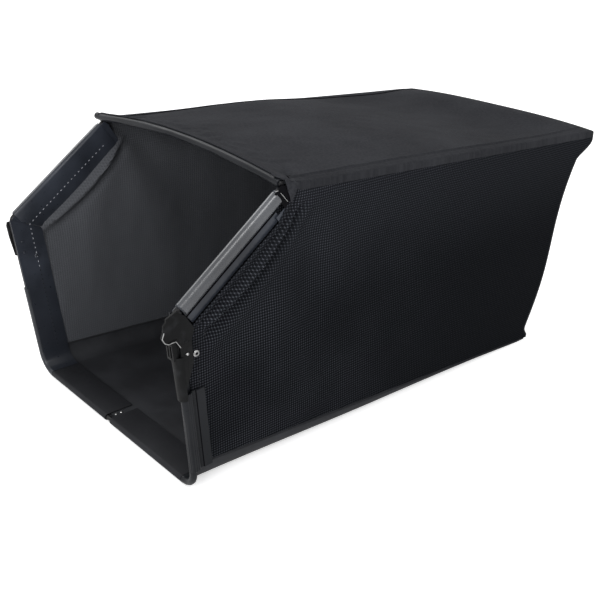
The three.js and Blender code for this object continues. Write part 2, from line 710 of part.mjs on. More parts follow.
// A rolled eyelet through the cloth and the flange.
function eyelet() {
  const outer = clothOuterX + TOUCH_GAP;
  const inner = ROD_X + clipBack - TOUCH_GAP;
  const span = outer - inner;
  const profile = [
    [EYELET_HOLE, -EYELET_LIP], [EYELET_HEAD - 1, -EYELET_LIP], [EYELET_HEAD, 0],
    [EYELET_BARREL, 0], [EYELET_BARREL, span], [EYELET_HEAD, span],
    [EYELET_HEAD - 1, span + EYELET_LIP], [EYELET_HOLE, span + EYELET_LIP],
    [EYELET_HOLE, -EYELET_LIP],
  ];
  return turned(profile, inner, ...eyeletSpot);
}

// Cloth. The cloth's outer face at the mouth lies between flange and lip.

const clothOuterX = ROD_X + flangeFace + TOUCH_GAP + CLOTH + 0.2;
const bump = (value, middle, spread) => Math.exp(-(((value - middle) / spread) ** 2));
const smooth = THREE.MathUtils.smoothstep;

// Outer corner line between top and side, and the lower edge of the sides.
const seamX = (y) => railAt(y).x + ROD_TO_CLOTH + 0.5;
const seamZ = (y) => railAt(y).z + ROD_TO_CLOTH;
const rearTopY = REAR_TOP_Y + ROD_TO_CLOTH;
const hemStartY = legAt(SIDE_HEM_Z) + CLOTH_SETBACK;
const hemZ = (y) => Math.max(0, THREE.MathUtils.mapLinear(y, hemStartY, FOOT_Y, SIDE_HEM_Z, 0));
const sideFoot = VINYL + TOUCH_GAP + 0.2;
const clothGap = CLOTH + TOUCH_GAP + 0.2;

// The rear edge from the ground up: a rolled seam, a slight swell, a hollow, and
// the corner that is pulled out over the top bar.
function rearEdgeY(z) {
  const share = z / seamZ(rearTopY);
  const straight = THREE.MathUtils.lerp(FOOT_Y, rearTopY - REAR_PULL, share);
  const phase = THREE.MathUtils.clamp((share - 0.07) / 0.85, 0, 1);
  const wall = straight + REAR_SWELL * Math.sin(2 * Math.PI * phase)
    + FOOT_ROLL * bump(share, 0.012, 0.03);
  return THREE.MathUtils.lerp(wall, rearTopY, smooth(share, 0.88, 0.96));
}

// The side panel stops this side of the rear panel, measured square to it.
function sideEndY(z) {
  const lean = rearEdgeY(z + 0.5) - rearEdgeY(z - 0.5);
  return rearEdgeY(z) - clothGap * Math.hypot(1, lean);
}

// Shares that crowd towards both ends, where the cloth turns sharply.
const crowded = (t) => 0.5 - 0.5 * Math.cos(Math.PI * t);

// A point at a share of the length of a chain of points.
function chainPoint(chain, share) {
  const steps = chain.slice(1).map((p, i) => p.distanceTo(chain[i]));
  let left = share * steps.reduce((sum, step) => sum + step, 0);
  for (let i = 0; i < steps.length; i++) {
    if (left <= steps[i] || i === steps.length - 1) {
      return chain[i].clone().lerp(chain[i + 1], left / steps[i]);
    }
    left -= steps[i];
  }
  return chain.at(-1).clone();
}

// Outline of a side panel in the side view, as [y, z] from the front lower corner.
const frontChain = [
  ...mouthPath(legLength(SIDE_HEM_Z), slantEnd).map(({ o, u }) => {
    const p = o.clone().addScaledVector(u, CLOTH_SETBACK);
    return new THREE.Vector2(p.y, Math.max(p.z, hemZ(p.y) + sideFoot));
  }),
  new THREE.Vector2(SIDE_TOP_Y, seamZ(SIDE_TOP_Y) - clothGap),
];
const rearTopZ = seamZ(rearTopY) - clothGap;

function sideOutline(s, t) {
  const front = chainPoint(frontChain, t);
  const rearZ = THREE.MathUtils.lerp(sideFoot, rearTopZ, t);
  const rear = new THREE.Vector2(sideEndY(rearZ), rearZ);
  const [frontLow, frontHigh] = [chainPoint(frontChain, 0), chainPoint(frontChain, 1)];
  const rearLow = new THREE.Vector2(sideEndY(sideFoot), sideFoot);
  const rearHigh = new THREE.Vector2(sideEndY(rearTopZ), rearTopZ);
  const low = frontLow.clone().lerp(rearLow, s);
  low.y = hemZ(low.x) + sideFoot;
  const high = frontHigh.clone().lerp(rearHigh, s);
  high.y = seamZ(high.x) - clothGap;
  const across = front.clone().lerp(rear, s);
  const upward = low.clone().lerp(high, t);
  const corners = frontLow.clone().lerp(rearLow, s)
    .lerp(frontHigh.clone().lerp(rearHigh, s), t);
  return across.add(upward).sub(corners);
}

// How far a point of the side view lies behind the rod of leg or slant.
function behindMouth(y, z) {
  const behindSlant = (y - HOOK_BEND_Y) * Math.sin(slantTurn)
    - (z - HOOK_BEND_Z) * Math.cos(slantTurn);
  return Math.min(y - legAt(z), behindSlant);
}

// The wall lies flat on the flange, sags inwards behind it, and flares out above
// to pass over the top rail.
function sideSurface(s, share) {
  const t = crowded(share);
  const { x: y, y: z } = sideOutline(s, t);
  const height = (z - SIDE_HEM_Z) / (seamZ(y) - SIDE_HEM_Z);
  const flareFrom = THREE.MathUtils.lerp(0.95, 0.75, smooth(y, TOP_BEND_Y, TOP_BEND_Y + FLARE_RUN));
  const flare = (seamX(y) - clothOuterX) * smooth(height, flareFrom, 0.975);
  const free = smooth(behindMouth(y, z), FLANGE_WIDTH, FLANGE_WIDTH + GATHER_RUN)
    * Math.sin(Math.PI * t) * (1 - smooth(height, 0.88, 0.97));
  const slack = WALL_SLACK * Math.sin(Math.PI * Math.min(1, s * 1.08));
  const gather = GATHER * bump(s, 0.16, 0.12) * Math.cos(GATHER_FOLDS * s);
  return new THREE.Vector3(clothOuterX + flare + free * (gather - slack), y, z);
}

function sidePanel() {
  return cut(sheet(sideSurface, 28, 14, CLOTH), eyeletHole());
}

const FRONT_EDGE_Y = TOP_BAR_Y + 0.6;
const barLift = TOP_BAR_Z + CLIP_OUTSIDE + TOUCH_GAP + CLOTH - seamZ(TOP_BAR_Y);

function topSurface(s, t) {
  const y = THREE.MathUtils.lerp(FRONT_EDGE_Y, rearTopY, s);
  const share = 1 - 2 * t;
  const x = -share * seamX(y);
  const side = Math.abs(share);
  const lift = barLift * bump(y, TOP_BAR_Y, BAR_SPREAD);
  const arch = archAt(x) * bump(y, TOP_BAR_Y, ARCH_SPREAD);
  const crown = x < 0 ? 1 - side ** 7 : 1 - side ** 2.2;
  const puff = TOP_PUFF * bump(y, TOP_PUFF_Y, TOP_PUFF_SPREAD) * crown;
  const sag = TOP_SAG * bump(y, TOP_SAG_Y, TOP_SAG_SPREAD) * smooth(1 - side, 0.05, 0.3);
  return new THREE.Vector3(x, y, seamZ(y) + lift + arch + puff - sag);
}

function topPanel() {
  return sheet((s, t) => topSurface(t, s), 16, 28, CLOTH);
}

function rearSurface(s, share) {
  const t = crowded(share);
  const z = THREE.MathUtils.lerp(sideFoot, rearTopZ, t);
  const x = THREE.MathUtils.lerp(-1, 1, s) * (seamX(REAR_TOP_Y) - 0.4);
  const side = x / seamX(REAR_TOP_Y);
  const slack = REAR_SLACK * Math.sin(Math.PI * Math.min(1, t / 0.9)) * (1 - side ** 2);
  return new THREE.Vector3(x, rearEdgeY(z) - slack, z);
}

function rearPanel() {
  return sheet((s, t) => rearSurface(1 - s, t), 12, 14, CLOTH);
}

// The floor hangs from the bottom strip and curls up to the side panels' lower edges.
const floorFrontY = FRONT_BAR_Y + ROD + 2;
const floorFrontZ = FRONT_BAR_Z + CLIP_INSIDE - TOUCH_GAP - VINYL;
const floorRearY = sideEndY(sideFoot) - 2;

// The floor's rounded edges follow the frame's lower corners.
const hemCurl = clothOuterX - (ROD_X - MOUTH_BEND);

function floorSurface(s, t) {
  const y = THREE.MathUtils.lerp(floorFrontY, floorRearY, s);
  const middle = floorFrontZ * (1 - smooth(s, 0, 0.5));
  const inwards = Math.min(t, 1 - t) / CURL_SHARE;
  const angle = Math.PI / 2 * Math.max(0, 1 - inwards);
  const flat = (clothOuterX - hemCurl) * Math.min(1, (0.5 / CURL_SHARE - inwards) / (0.5 / CURL_SHARE - 1));
  const x = Math.sign(t - 0.5) * (flat + hemCurl * Math.sin(angle));
  const rise = Math.max(0, hemZ(y) - middle) * (1 - Math.cos(angle));
  return new THREE.Vector3(x, y, middle + rise);
}

function floorPanel() {
  return cut(sheet((s, t) => floorSurface(s, t), 14, 20, VINYL), ...floorHoles());
}

// A tape sewn over the seam between top and side.
const tapeSection = spots2([
  [0, -BINDING_WIDTH], [BINDING, -BINDING_WIDTH], [BINDING, 0], [0.7 * BINDING, 0.4], [0, 0.4],
]);

function topBinding() {
  const steps = 14;
  const stations = Array.from({ length: steps + 1 }, (_, k) => {
    const y = THREE.MathUtils.lerp(TOP_BAR_Y + CLIP_OUTSIDE, rearTopY - REAR_BEND, k / steps);
    return {
      o: new THREE.Vector3(seamX(y) + TOUCH_GAP + 0.1, y, seamZ(y)),
      u: ACROSS, v: new THREE.Vector3(0, 0, 1),
    };
  });
  return sweep(tapeSection, stations);
}

// The two rivets of the floor cloth stand in the gap between the bottom strips.
function floorRivet(y) {
  const share = (y - floorFrontY) / (floorRearY - floorFrontY);
  const z = floorSurface(share, 0.5).z;
  const [low, high] = [z - TOUCH_GAP, z + VINYL + TOUCH_GAP];
  const profile = [
    [0, low - RIVET_DOME], [RIVET_HEAD * 0.7, low - RIVET_DOME], [RIVET_HEAD, low],
    [RIVET_SHANK, low], [RIVET_SHANK, high], [RIVET_HEAD, high],
    [RIVET_HEAD * 0.7, high + RIVET_DOME], [0, high + RIVET_DOME],
  ];
  return turned(profile, MIDDLE_JOINT, y, 0, true);
}

function floorHoles() {
  const radius = RIVET_SHANK + RIVET_CLEARANCE;
  return FLOOR_RIVET_YS.map((y) => turned(
    [[0, -wallReach], [radius, -wallReach], [radius, wallReach], [0, wallReach]],
    MIDDLE_JOINT, y, 0, true));
}

// The bag

const bag = new THREE.Group();

function place(name, geometry, finish) {
  const material = new THREE.MeshStandardMaterial(finish);
  const body = new THREE.Mesh(geometry, material);
  body.name = name;
  bag.add(body);
}

function placePair(name, geometry, finish) {
  place(`${name}_right`, geometry, finish);
  place(`${name}_left`, mirrored(geometry), finish);
}

place('frame_loop', mainLoop(), steel);
place('top_cross_bar', topCrossBar(), steel);
place('rear_frame', rearFrame(), steel);

place('top_channel', topChannel(), strip);
placePair('upper_channel', upperChannel(), strip);
placePair('lower_channel', lowerChannel(), strip);
const stripEnd = ROD_X - CORNER_REACH - STRIP_END_GAP;
place('bottom_channel_right', bottomChannel(MIDDLE_JOINT + JOINT_GAP / 2, stripEnd), strip);
place('bottom_channel_left', bottomChannel(-stripEnd, MIDDLE_JOINT - JOINT_GAP / 2), strip);

place('hook_bracket_right', hookBracket(), moulding);
place('hook_bracket_left', leftPlate(), moulding);
for (const [which, z] of Object.entries(RIVET_HEIGHTS)) {
  place(`bracket_rivet_${which}_right`, bracketRivet(z, bracketInner - PLATE), zinc);
  place(`bracket_rivet_${which}_left`, mirrored(bracketRivet(z, ROD_X + clipBack)), zinc);
}
placePair('eyelet', eyelet(), zinc);
FLOOR_RIVET_YS.forEach((y, k) => place(`floor_rivet_${k + 1}`, floorRivet(y), zinc));

place('top_panel', topPanel(), topCloth);
placePair('side_panel', sidePanel(), netting);
place('rear_panel', rearPanel(), netting);
place('floor_panel', floorPanel(), vinyl);
placePair('top_binding', topBinding(), tape);

// The origin is the middle of the footprint, on the ground.
const box = new THREE.Box3().setFromObject(bag);
const middle = box.getCenter(new THREE.Vector3());
bag.position.set(-middle.x, -middle.y, -box.min.z);
bag.updateMatrixWorld(true);

export default bag;
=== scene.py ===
# %% [markdown]
# # The grass bag of a walk-behind mower
#
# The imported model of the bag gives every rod, strip and panel its place. This lesson
# dresses it: round rods, glossy clip strips, moulded brackets, and cloth that sags,
# gathers and shows its weave. Each step says what the real piece is, how it could be
# made, and why it is made this way.

# %% Load the frame
import math

import bmesh
import bpy
from mathutils import Matrix, Vector, noise


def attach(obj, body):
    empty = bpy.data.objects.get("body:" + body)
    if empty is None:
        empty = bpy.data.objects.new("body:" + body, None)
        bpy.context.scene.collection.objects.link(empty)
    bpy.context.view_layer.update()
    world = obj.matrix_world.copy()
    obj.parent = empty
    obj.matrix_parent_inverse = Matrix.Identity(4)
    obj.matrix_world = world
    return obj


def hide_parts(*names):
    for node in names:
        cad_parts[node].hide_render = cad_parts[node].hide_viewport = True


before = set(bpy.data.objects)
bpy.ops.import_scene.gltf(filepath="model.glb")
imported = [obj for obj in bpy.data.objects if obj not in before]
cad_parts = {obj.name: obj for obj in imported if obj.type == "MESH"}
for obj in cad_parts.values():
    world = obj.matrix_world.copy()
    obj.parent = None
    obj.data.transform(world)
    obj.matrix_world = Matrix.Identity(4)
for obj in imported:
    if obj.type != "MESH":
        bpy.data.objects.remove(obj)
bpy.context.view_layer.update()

# %% [markdown]
# ## Sizes
#
# The bag was measured from the front edge of its bottom bar, in millimetres: x across,
# y from the mouth to the rear, z up. The model's origin is the middle of the footprint,
# and the cross bar stands out to the left, so one small function turns a measured place
# into a place in the scene. The real frame is sprung: its left leg leans forward by a few
# millimetres, which the same function adds. Two more functions turn a place beside the
# mouth's rod into a measured one, and back.

# %% Sizes of the bag
MOUTH_TO_MIDDLE = 355.4
MIDDLE_TO_LEFT = 2.95
LEFT_LEAN = 8.5

# The middle lines of the rods, as places in the side view, y and z
ROD = 3.2
ROD_X = 190.3
FRONT_BAR = (4.7, 4.7)
HOOK_BEND = (-13.5, 238.9)
TOP_BEND = (133.0, 349.5)
REAR_TOP = (741.5, 312.5)
HOOK_BEND_RADIUS = 12.0
REAR_TOP_HALF_WIDTH = 184.0
FOOT_BAR = (621.0, 5.7)
UPRIGHT_TOP_Y = 706.0
SLANT = math.atan2(TOP_BEND[1] - HOOK_BEND[1], TOP_BEND[0] - HOOK_BEND[0])
SLANT_LENGTH = math.hypot(TOP_BEND[1] - HOOK_BEND[1], TOP_BEND[0] - HOOK_BEND[0])

# The clip strips and the cloth sewn to their flanges
FLANGE = 38.0
CLIP_OUTSIDE = 4.7
CLOTH = 1.2
CLOTH_X = 188.55
STITCH_SETBACK = 22.5
LIP_EDGE = 30.0

SIDES = ((1, "right"), (-1, "left"))
X, Y, Z = 0, 1, 2


def mix(a, b, share):
    return a + (b - a) * share


def smooth(value, low, high):
    share = min(1.0, max(0.0, (value - low) / (high - low)))
    return share * share * (3 - 2 * share)


def bump(value, middle, spread):
    return math.exp(-(((value - middle) / spread) ** 2))


def lean(x, y, z):
    """The left front of the frame is sprung a little forward, most of all at its hook bend."""
    height = z / HOOK_BEND[1] if z < HOOK_BEND[1] else mix(1.0, 0.75, (z - HOOK_BEND[1]) / 110)
    return LEFT_LEAN * smooth(-x, 60, 185) * max(0.0, height) * (1 - smooth(y, 60, 330))


def place(x, y, z):
    return Vector((x + MIDDLE_TO_LEFT, y - lean(x, y, z) - MOUTH_TO_MIDDLE, z)) / 1000


def beside_slant(along, behind):
    """A place in the side view, by its way up the slanted rod and its distance behind it."""
    return (HOOK_BEND[0] + along * math.cos(SLANT) + behind * math.sin(SLANT),
            HOOK_BEND[1] + along * math.sin(SLANT) - behind * math.cos(SLANT))


def leg_y(z):
    return mix(FRONT_BAR[0], HOOK_BEND[0], (z - FRONT_BAR[1]) / (HOOK_BEND[1] - FRONT_BAR[1]))


def mouth_place(y, z):
    """How far a place lies behind the mouth's rod, and how far up the slant."""
    dy, dz = y - HOOK_BEND[0], z - HOOK_BEND[1]
    behind_slant = dy * math.sin(SLANT) - dz * math.cos(SLANT)
    up_slant = (dy * math.cos(SLANT) + dz * math.sin(SLANT)) / SLANT_LENGTH
    return min(y - leg_y(z), behind_slant), behind_slant, up_slant


def rail(y):
    share = (y - TOP_BEND[0]) / (REAR_TOP[0] - TOP_BEND[0])
    return mix(ROD_X, REAR_TOP_HALF_WIDTH, share), mix(TOP_BEND[1], REAR_TOP[1], share)


print("mouth width", 2 * (ROD_X + CLIP_OUTSIDE), "mm")

# %% [markdown]
# ## Camera
#
# The photograph looks at the bag from its front right corner and a little from above.
# The camera could be placed by eye, but straight edges of known direction give it
# exactly, so its place, lens and slight roll are set as numbers.

# %% Camera
AZIMUTH, ELEVATION, ROLL = (math.radians(a) for a in (49.19, 24.77, 0.89))
CAMERA_SPOT = (953.8, -496.1, 669.3)
LENS = 55.9

bpy.ops.object.select_all(action="DESELECT")
bpy.ops.object.camera_add()
camera = bpy.context.object
back = Vector((math.sin(AZIMUTH) * math.cos(ELEVATION),
               -math.cos(AZIMUTH) * math.cos(ELEVATION), math.sin(ELEVATION)))
right = Vector((math.cos(AZIMUTH), math.sin(AZIMUTH), 0))
up = back.cross(right)
rolled_right = right * math.cos(ROLL) + up * math.sin(ROLL)
rolled_up = up * math.cos(ROLL) - right * math.sin(ROLL)
turned = Matrix((rolled_right, rolled_up, back)).transposed().to_4x4()
camera.matrix_world = Matrix.Translation(place(*CAMERA_SPOT)) @ turned
camera.data.sensor_width = 36
camera.data.lens = LENS
camera.data.clip_end = 50
bpy.context.scene.camera = camera
print("camera at", tuple(round(v, 3) for v in camera.location))

# %% [markdown]
# ## Shader maths
#
# A weave is a sum of small patterns. Wiring each Math node by hand hides the sum, so a
# small class wraps a socket and lets patterns be written as plain expressions.

# %% Sockets as numbers
class Wave:
    """A number that varies over the surface."""

    def __init__(self, finish, socket):
        self.finish, self.socket = finish, socket

    def _math(self, operation, *values):
        node = self.finish.add("ShaderNodeMath", values, operation=operation)
        return Wave(self.finish, node.outputs[0])

    def fraction(self):
        return self._math("FRACT", self)

    def size(self):
        return self._math("ABSOLUTE", self)

    def most(self, other):
        return self._math("MAXIMUM", self, other)

    def sine(self):
        return self._math("SINE", self)

    def between(self, low, high):
        ends = {"Value": self, "From Min": low, "From Max": high}
        node = self.finish.add("ShaderNodeMapRange", ends, interpolation_type="SMOOTHSTEP")
        return Wave(self.finish, node.outputs[0])


def overload(name, operation):
    """Lets a plain sign stand for a Math node, with the wave on either side of it."""
    setattr(Wave, f"__{name}__", lambda wave, other: wave._math(operation, wave, other))
    setattr(Wave, f"__r{name}__", lambda wave, other: wave._math(operation, other, wave))


class Finish:
    """A material with one surface shader, and the nodes that feed it."""

    def __init__(self, name):
        self.material = bpy.data.materials.new(name)
        self.material.use_nodes = True
        self.tree = self.material.node_tree
        self.shader = self.tree.nodes["Principled BSDF"]

    def add(self, kind, values=(), **settings):
        node = self.tree.nodes.new(kind)
        for setting, value in settings.items():
            setattr(node, setting, value)
        pairs = values.items() if isinstance(values, dict) else enumerate(values)
        for key, value in pairs:
            self.feed(node.inputs[key], value)
        return node

    def feed(self, socket, value):
        source = value.socket if isinstance(value, Wave) else value
        if isinstance(source, bpy.types.NodeSocket):
            self.tree.links.new(source, socket)
        else:
            socket.default_value = source

    def surface(self, **inputs):
        for name, value in inputs.items():
            self.feed(self.shader.inputs[name.replace("_", " ").title().replace("Ior", "IOR")], value)

    def colours(self, share, low, high):
        node = self.add("ShaderNodeMix", data_type="RGBA")
        low = (*low, 1) if isinstance(low, tuple) else low
        for index, value in ((0, share), (6, low), (7, (*high, 1))):
            self.feed(node.inputs[index], value)
        return node.outputs[2]

    def cloth_axes(self):
        node = self.add("ShaderNodeTexCoord")
        split = self.add("ShaderNodeSeparateXYZ", [node.outputs["UV"]])
        return Wave(self, split.outputs[0]), Wave(self, split.outputs[1])

    def cloud(self, scale, detail=2.0, rough=0.5, source="Object"):
        coordinate = self.add("ShaderNodeTexCoord").outputs[source]
        node = self.add("ShaderNodeTexNoise", {
            "Vector": coordinate, "Scale": scale, "Detail": detail, "Roughness": rough})
        return Wave(self, node.outputs[0])

    def height(self):
        node = self.add("ShaderNodeTexCoord")
        split = self.add("ShaderNodeSeparateXYZ", [node.outputs["Object"]])
        return Wave(self, split.outputs[Z])

    def relief(self, height, depth, strength=1.0):
        node = self.add("ShaderNodeBump", {"Height": height, "Distance": depth, "Strength": strength})
        self.feed(self.shader.inputs["Normal"], node.outputs[0])


overload("add", "ADD")
overload("sub", "SUBTRACT")
overload("mul", "MULTIPLY")
overload("truediv", "DIVIDE")
print("a wave can be added, subtracted, multiplied and divided")

# %% [markdown]
# ## Painted steel, zinc and moulded plastic
#
# The rods are steel wire with black paint that pools into a faint orange peel. The
# rivets and eyelets are zinc plated, and those that are handled most are worn dull. The
# hook brackets are nylon from a spark-eroded mould, with a fine even grain and patches
# that are rubbed a little lighter.

# %% Rigid finishes
def painted_steel():
    finish = Finish("black_paint")
    peel = finish.cloud(900, 1.5)
    dust = finish.cloud(22, 4)
    black = finish.colours(dust.between(0.45, 0.8), (0.006, 0.006, 0.007), (0.016, 0.016, 0.018))
    finish.surface(base_color=black, roughness=0.28 + dust * 0.22, specular_ior_level=0.25)
    finish.relief(peel, 0.0002, 0.25)
    return finish.material


def zinc_plate(name, low, high):
    finish = Finish(name)
    tarnish = finish.cloud(420, 3)
    finish.surface(base_color=finish.colours(tarnish, low, high),
                   metallic=1.0, roughness=0.22 + tarnish * 0.2)
    return finish.material


def moulded_nylon():
    finish = Finish("moulded_nylon")
    grain = finish.cloud(1500, 2)
    rubbed = finish.cloud(60, 4)
    black = finish.colours(rubbed.between(0.5, 0.75), (0.005, 0.0052, 0.0056), (0.013, 0.0135, 0.015))
    finish.surface(base_color=black, roughness=0.36 + grain * 0.25, specular_ior_level=0.1)
    finish.relief(grain, 0.0003, 0.35)
    return finish.material


ZINC = zinc_plate("zinc_plate", (0.42, 0.42, 0.43), (0.78, 0.78, 0.76))
# The dull zinc also draws the thin wires of the painted highlights on edges.
WORN_ZINC_AND_HIGHLIGHT = zinc_plate("worn_zinc_and_highlight", (0.12, 0.12, 0.13), (0.62, 0.62, 0.61))
BLACK_PAINT, NYLON = painted_steel(), moulded_nylon()
print("rigid finishes", BLACK_PAINT.name, ZINC.name, NYLON.name)

# %% [markdown]
# ## Extruded strip
#
# The clip strips are extruded PVC. Handling leaves fine scuffs and flexing leaves soft
# pale clouds; the pale share grows with the height, so the strips are darker low down. The
# crowned covers are glossier and have a paler colour, painted light. Some strips take a
# darker copy, painted shade, the floor's strips are darker and duller, and the grooves are
# painted near black, as painted shade.

# %% Strip finish
def extruded_strip(name, low, high, rough, shine=0.5):
    finish = Finish(name)
    clouds = finish.cloud(14, 3)
    scuffs = finish.cloud(160, 5, 0.65)
    # The pale share grows with the height, so the strips are darker low down.
    pale = clouds.between(0.3, 0.75) * (0.3 + finish.height().between(0.03, 0.22) * 0.7)
    finish.surface(base_color=finish.colours(pale, low, high), roughness=rough + scuffs * 0.22,
                   specular_ior_level=shine)
    finish.relief(scuffs, 0.0002, 0.15)
    return finish.material


STRIP = extruded_strip("extruded_strip", (0.014, 0.016, 0.021), (0.034, 0.039, 0.051), 0.2, 0.36)
# Painted light: a glossier copy of the strip with a paler colour, for the crowned covers.
LIT_COVER_STRIP = extruded_strip("lit_crowned_strip", (0.026, 0.028, 0.033), (0.060, 0.064, 0.072), 0.16, 0.8)
# Painted shade: a darker, duller copy of the strip for the right leg, the top strip and the bar's sleeves.
SHADED_STRIP = extruded_strip("shaded_strip", (0.008, 0.009, 0.011), (0.018, 0.019, 0.022), 0.2, 0.14)
FLOOR_STRIP = extruded_strip("floor_strip", (0.0165, 0.017, 0.0195), (0.034, 0.0355, 0.040), 0.45, 0.12)
# Painted shade: a near-black copy of the strip for the sunk grooves, the seam's shadow line and the hollow
# at the right clip's end.
PAINTED_SHADE = extruded_strip("painted_shade", (0.002, 0.002, 0.003), (0.004, 0.004, 0.005), 0.6, 0.05)
print("strip finishes", STRIP.name, FLOOR_STRIP.name, PAINTED_SHADE.name)

# %% [markdown]
# ## Cloths
#
# The sides and the rear are an open leno mesh, whose knots stand about 3.4 mm apart. Their
# painted highlights make the knots paler than the threads, and more so on the gathered fold
# behind the right slant. From inside, daylight comes through the mesh, so the inner face is
# given a paler colour, painted light. The top and the tapes are a dense weave, and the floor
# is a coated cloth with almost no texture. The woven patterns read each panel's own UV map,
# which is laid out in metres, so the weave keeps its scale and follows the cut.

# %% Mesh cloth
MESH_PITCH = 0.0034


def fold_highlight_band(along, upward):
    """How near a place lies to the gathered fold behind the slanted strip, where a highlight is painted."""
    y = along - (HOOK_BEND[0] - MOUTH_TO_MIDDLE) / 1000
    z = upward - HOOK_BEND[1] / 1000
    behind = y * math.sin(SLANT) - z * math.cos(SLANT)
    share = (y * math.cos(SLANT) + z * math.sin(SLANT)) / (SLANT_LENGTH / 1000)
    off = share - 0.47
    near = 1 - (behind - 0.052 + off * off * 0.06).size().between(0.003, 0.011)
    return near * share.between(-0.25, 0.15) * (1 - share.between(1.02, 1.2))


def netting(name, hole, thread, knot_highlight, contrast_front, contrast_rear, gathered=0.0):
    finish = Finish(name)
    along, upward = finish.cloth_axes()
    drift = finish.cloud(26, 2, source="UV") * 0.35
    across_thread = ((along / MESH_PITCH + drift).fraction() - 0.5).size() * 2
    up_thread = ((upward / MESH_PITCH + drift).fraction() - 0.5).size() * 2
    high = upward.between(0.16, 0.32) * 0.4
    threads = across_thread.most(up_thread).between(0.35, 0.95)
    knots = (across_thread * up_thread).between(0.35, 0.9)
    patches = finish.cloud(9, 3, source="UV").between(0.32, 0.68)
    forward = 1 - (along + 0.36).between(0.0, 0.55)
    stronger = (contrast_front - contrast_rear) * forward * (0.35 + 0.65 * patches)
    contrast = contrast_rear + stronger + high * 0.6
    # Painted highlight: the knots and threads on the gathered fold are made paler.
    if gathered:
        contrast = contrast + fold_highlight_band(along, upward) * gathered
    base = finish.colours(threads * contrast + high, hole, thread)
    # Painted highlights: the knots are paler than the threads.
    colour = finish.colours(knots * contrast, base, knot_highlight)
    finish.surface(base_color=colour, roughness=0.85, specular_ior_level=0.02)
    finish.relief(threads + knots * 0.6, 0.0006, 0.5)
    return finish.material


OUTSIDE = ((0.0040, 0.0045, 0.0054), (0.0150, 0.0162, 0.0195), (0.066, 0.070, 0.082), 1.0, 0.25)
MESH_OUTSIDE = netting("mesh_outside", *OUTSIDE)
# The right side's outer face carries the painted highlight along the gathered fold.
MESH_FOLD_HIGHLIGHT = netting("mesh_fold_highlight", *OUTSIDE, gathered=0.9)
# Painted light: the inner face is paler, for the daylight that comes through the mesh.
MESH_INSIDE_PAINTED_LIGHT = netting("mesh_inside_painted_light", (0.062, 0.065, 0.072), (0.078, 0.081, 0.090),
                      (0.094, 0.098, 0.108), 0.3, 0.2)
print("mesh pitch", MESH_PITCH * 1000, "mm")

# %% Top cloth and coated floor cloth
WEAVE_PITCH = 0.0016


def woven_cloth(name, low, high):
    finish = Finish(name)
    along, upward = finish.cloth_axes()
    turn = 2 * math.pi / WEAVE_PITCH
    weave = (along * turn).sine() * (upward * turn).sine() * 0.5 + 0.5
    dust = finish.cloud(7, 5, 0.6, source="UV").between(0.25, 0.8)
    fleck = finish.cloud(260, 3, 0.7, source="UV")
    share = 0.45 * dust + 0.25 * weave + 1.1 * fleck - 0.42
    colour = finish.colours(share, low, high)
    finish.surface(base_color=colour, roughness=0.9, specular_ior_level=0.06)
    finish.relief(weave * 0.6 + fleck, 0.0004, 0.5)
    return finish.material


def coated_cloth():
    finish = Finish("coated_cloth")
    smear = finish.cloud(11, 4, 0.6)
    grain = finish.cloud(700, 2)
    colour = finish.colours(smear.between(0.3, 0.75), (0.017, 0.0175, 0.020), (0.033, 0.0345, 0.039))
    finish.surface(base_color=colour, roughness=0.5 + smear * 0.2, specular_ior_level=0.2)
    finish.relief(grain + smear * 3, 0.0004, 0.3)
    return finish.material


TOP_CLOTH = woven_cloth("top_cloth", (0.013, 0.0135, 0.016), (0.042, 0.0435, 0.049))
TAPE = woven_cloth("binding_tape", (0.012, 0.0125, 0.014), (0.036, 0.037, 0.041))
COATED = coated_cloth()
print("woven", TOP_CLOTH.name, TAPE.name, COATED.name)


# %% Sewing thread
def thread_finish():
    finish = Finish("sewing_thread")
    twist = finish.cloud(1800, 2)
    finish.surface(base_color=finish.colours(twist, (0.18, 0.19, 0.21), (0.34, 0.35, 0.38)), roughness=0.7)
    return finish.material


THREAD = thread_finish()
print("thread", THREAD.name)

# %% [markdown]
# ## Rods
#
# The frame is bent from round wire. A polygon tube would show its flats where the light
# runs along it, so each rod is drawn as a curve with a round bevel and made a mesh.
# Corners are given with their bend radius, as a wire bender's drawing gives them.

# %% Bent paths
def bent_path(corners, bend_steps=10):
    """Points along straight runs with round bends; a corner is (x, y, z, radius)."""
    spots = [Vector(corner[:3]) for corner in corners]
    path = [spots[0]]
    for before, here, after, corner in zip(spots, spots[1:], spots[2:], corners[1:]):
        into, onward = (here - before).normalized(), (after - here).normalized()
        turn = into.angle(onward)
        start = here - into * corner[3] * math.tan(turn / 2)
        inward = (onward - into * onward.dot(into)).normalized()
        for k in range(bend_steps + 1):
            angle = turn * k / bend_steps
            path.append(start + (into * math.sin(angle) + inward * (1 - math.cos(angle))) * corner[3])
    return path + [spots[-1]]


def mirrored(path):
    return [Vector((-p.x, p.y, p.z)) for p in reversed(path)]


print("a square bend has", len(bent_path([(0, 0, 0), (50, 0, 0, 12), (50, 50, 0)])) - 2, "points")


# %% Dressing a piece and bending a rod
def deselect():
    bpy.ops.object.select_all(action="DESELECT")


def dress(piece, name, finish, slot, *nodes):
    """Names a piece, gives it its finish, and lets it stand for its nodes."""
    piece.name = piece.data.name = name
    if not isinstance(finish, tuple):
        piece.data.materials.clear()
        piece.data.materials.append(finish)
    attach(piece, "root")
    if nodes:
        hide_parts(*nodes)
    return piece


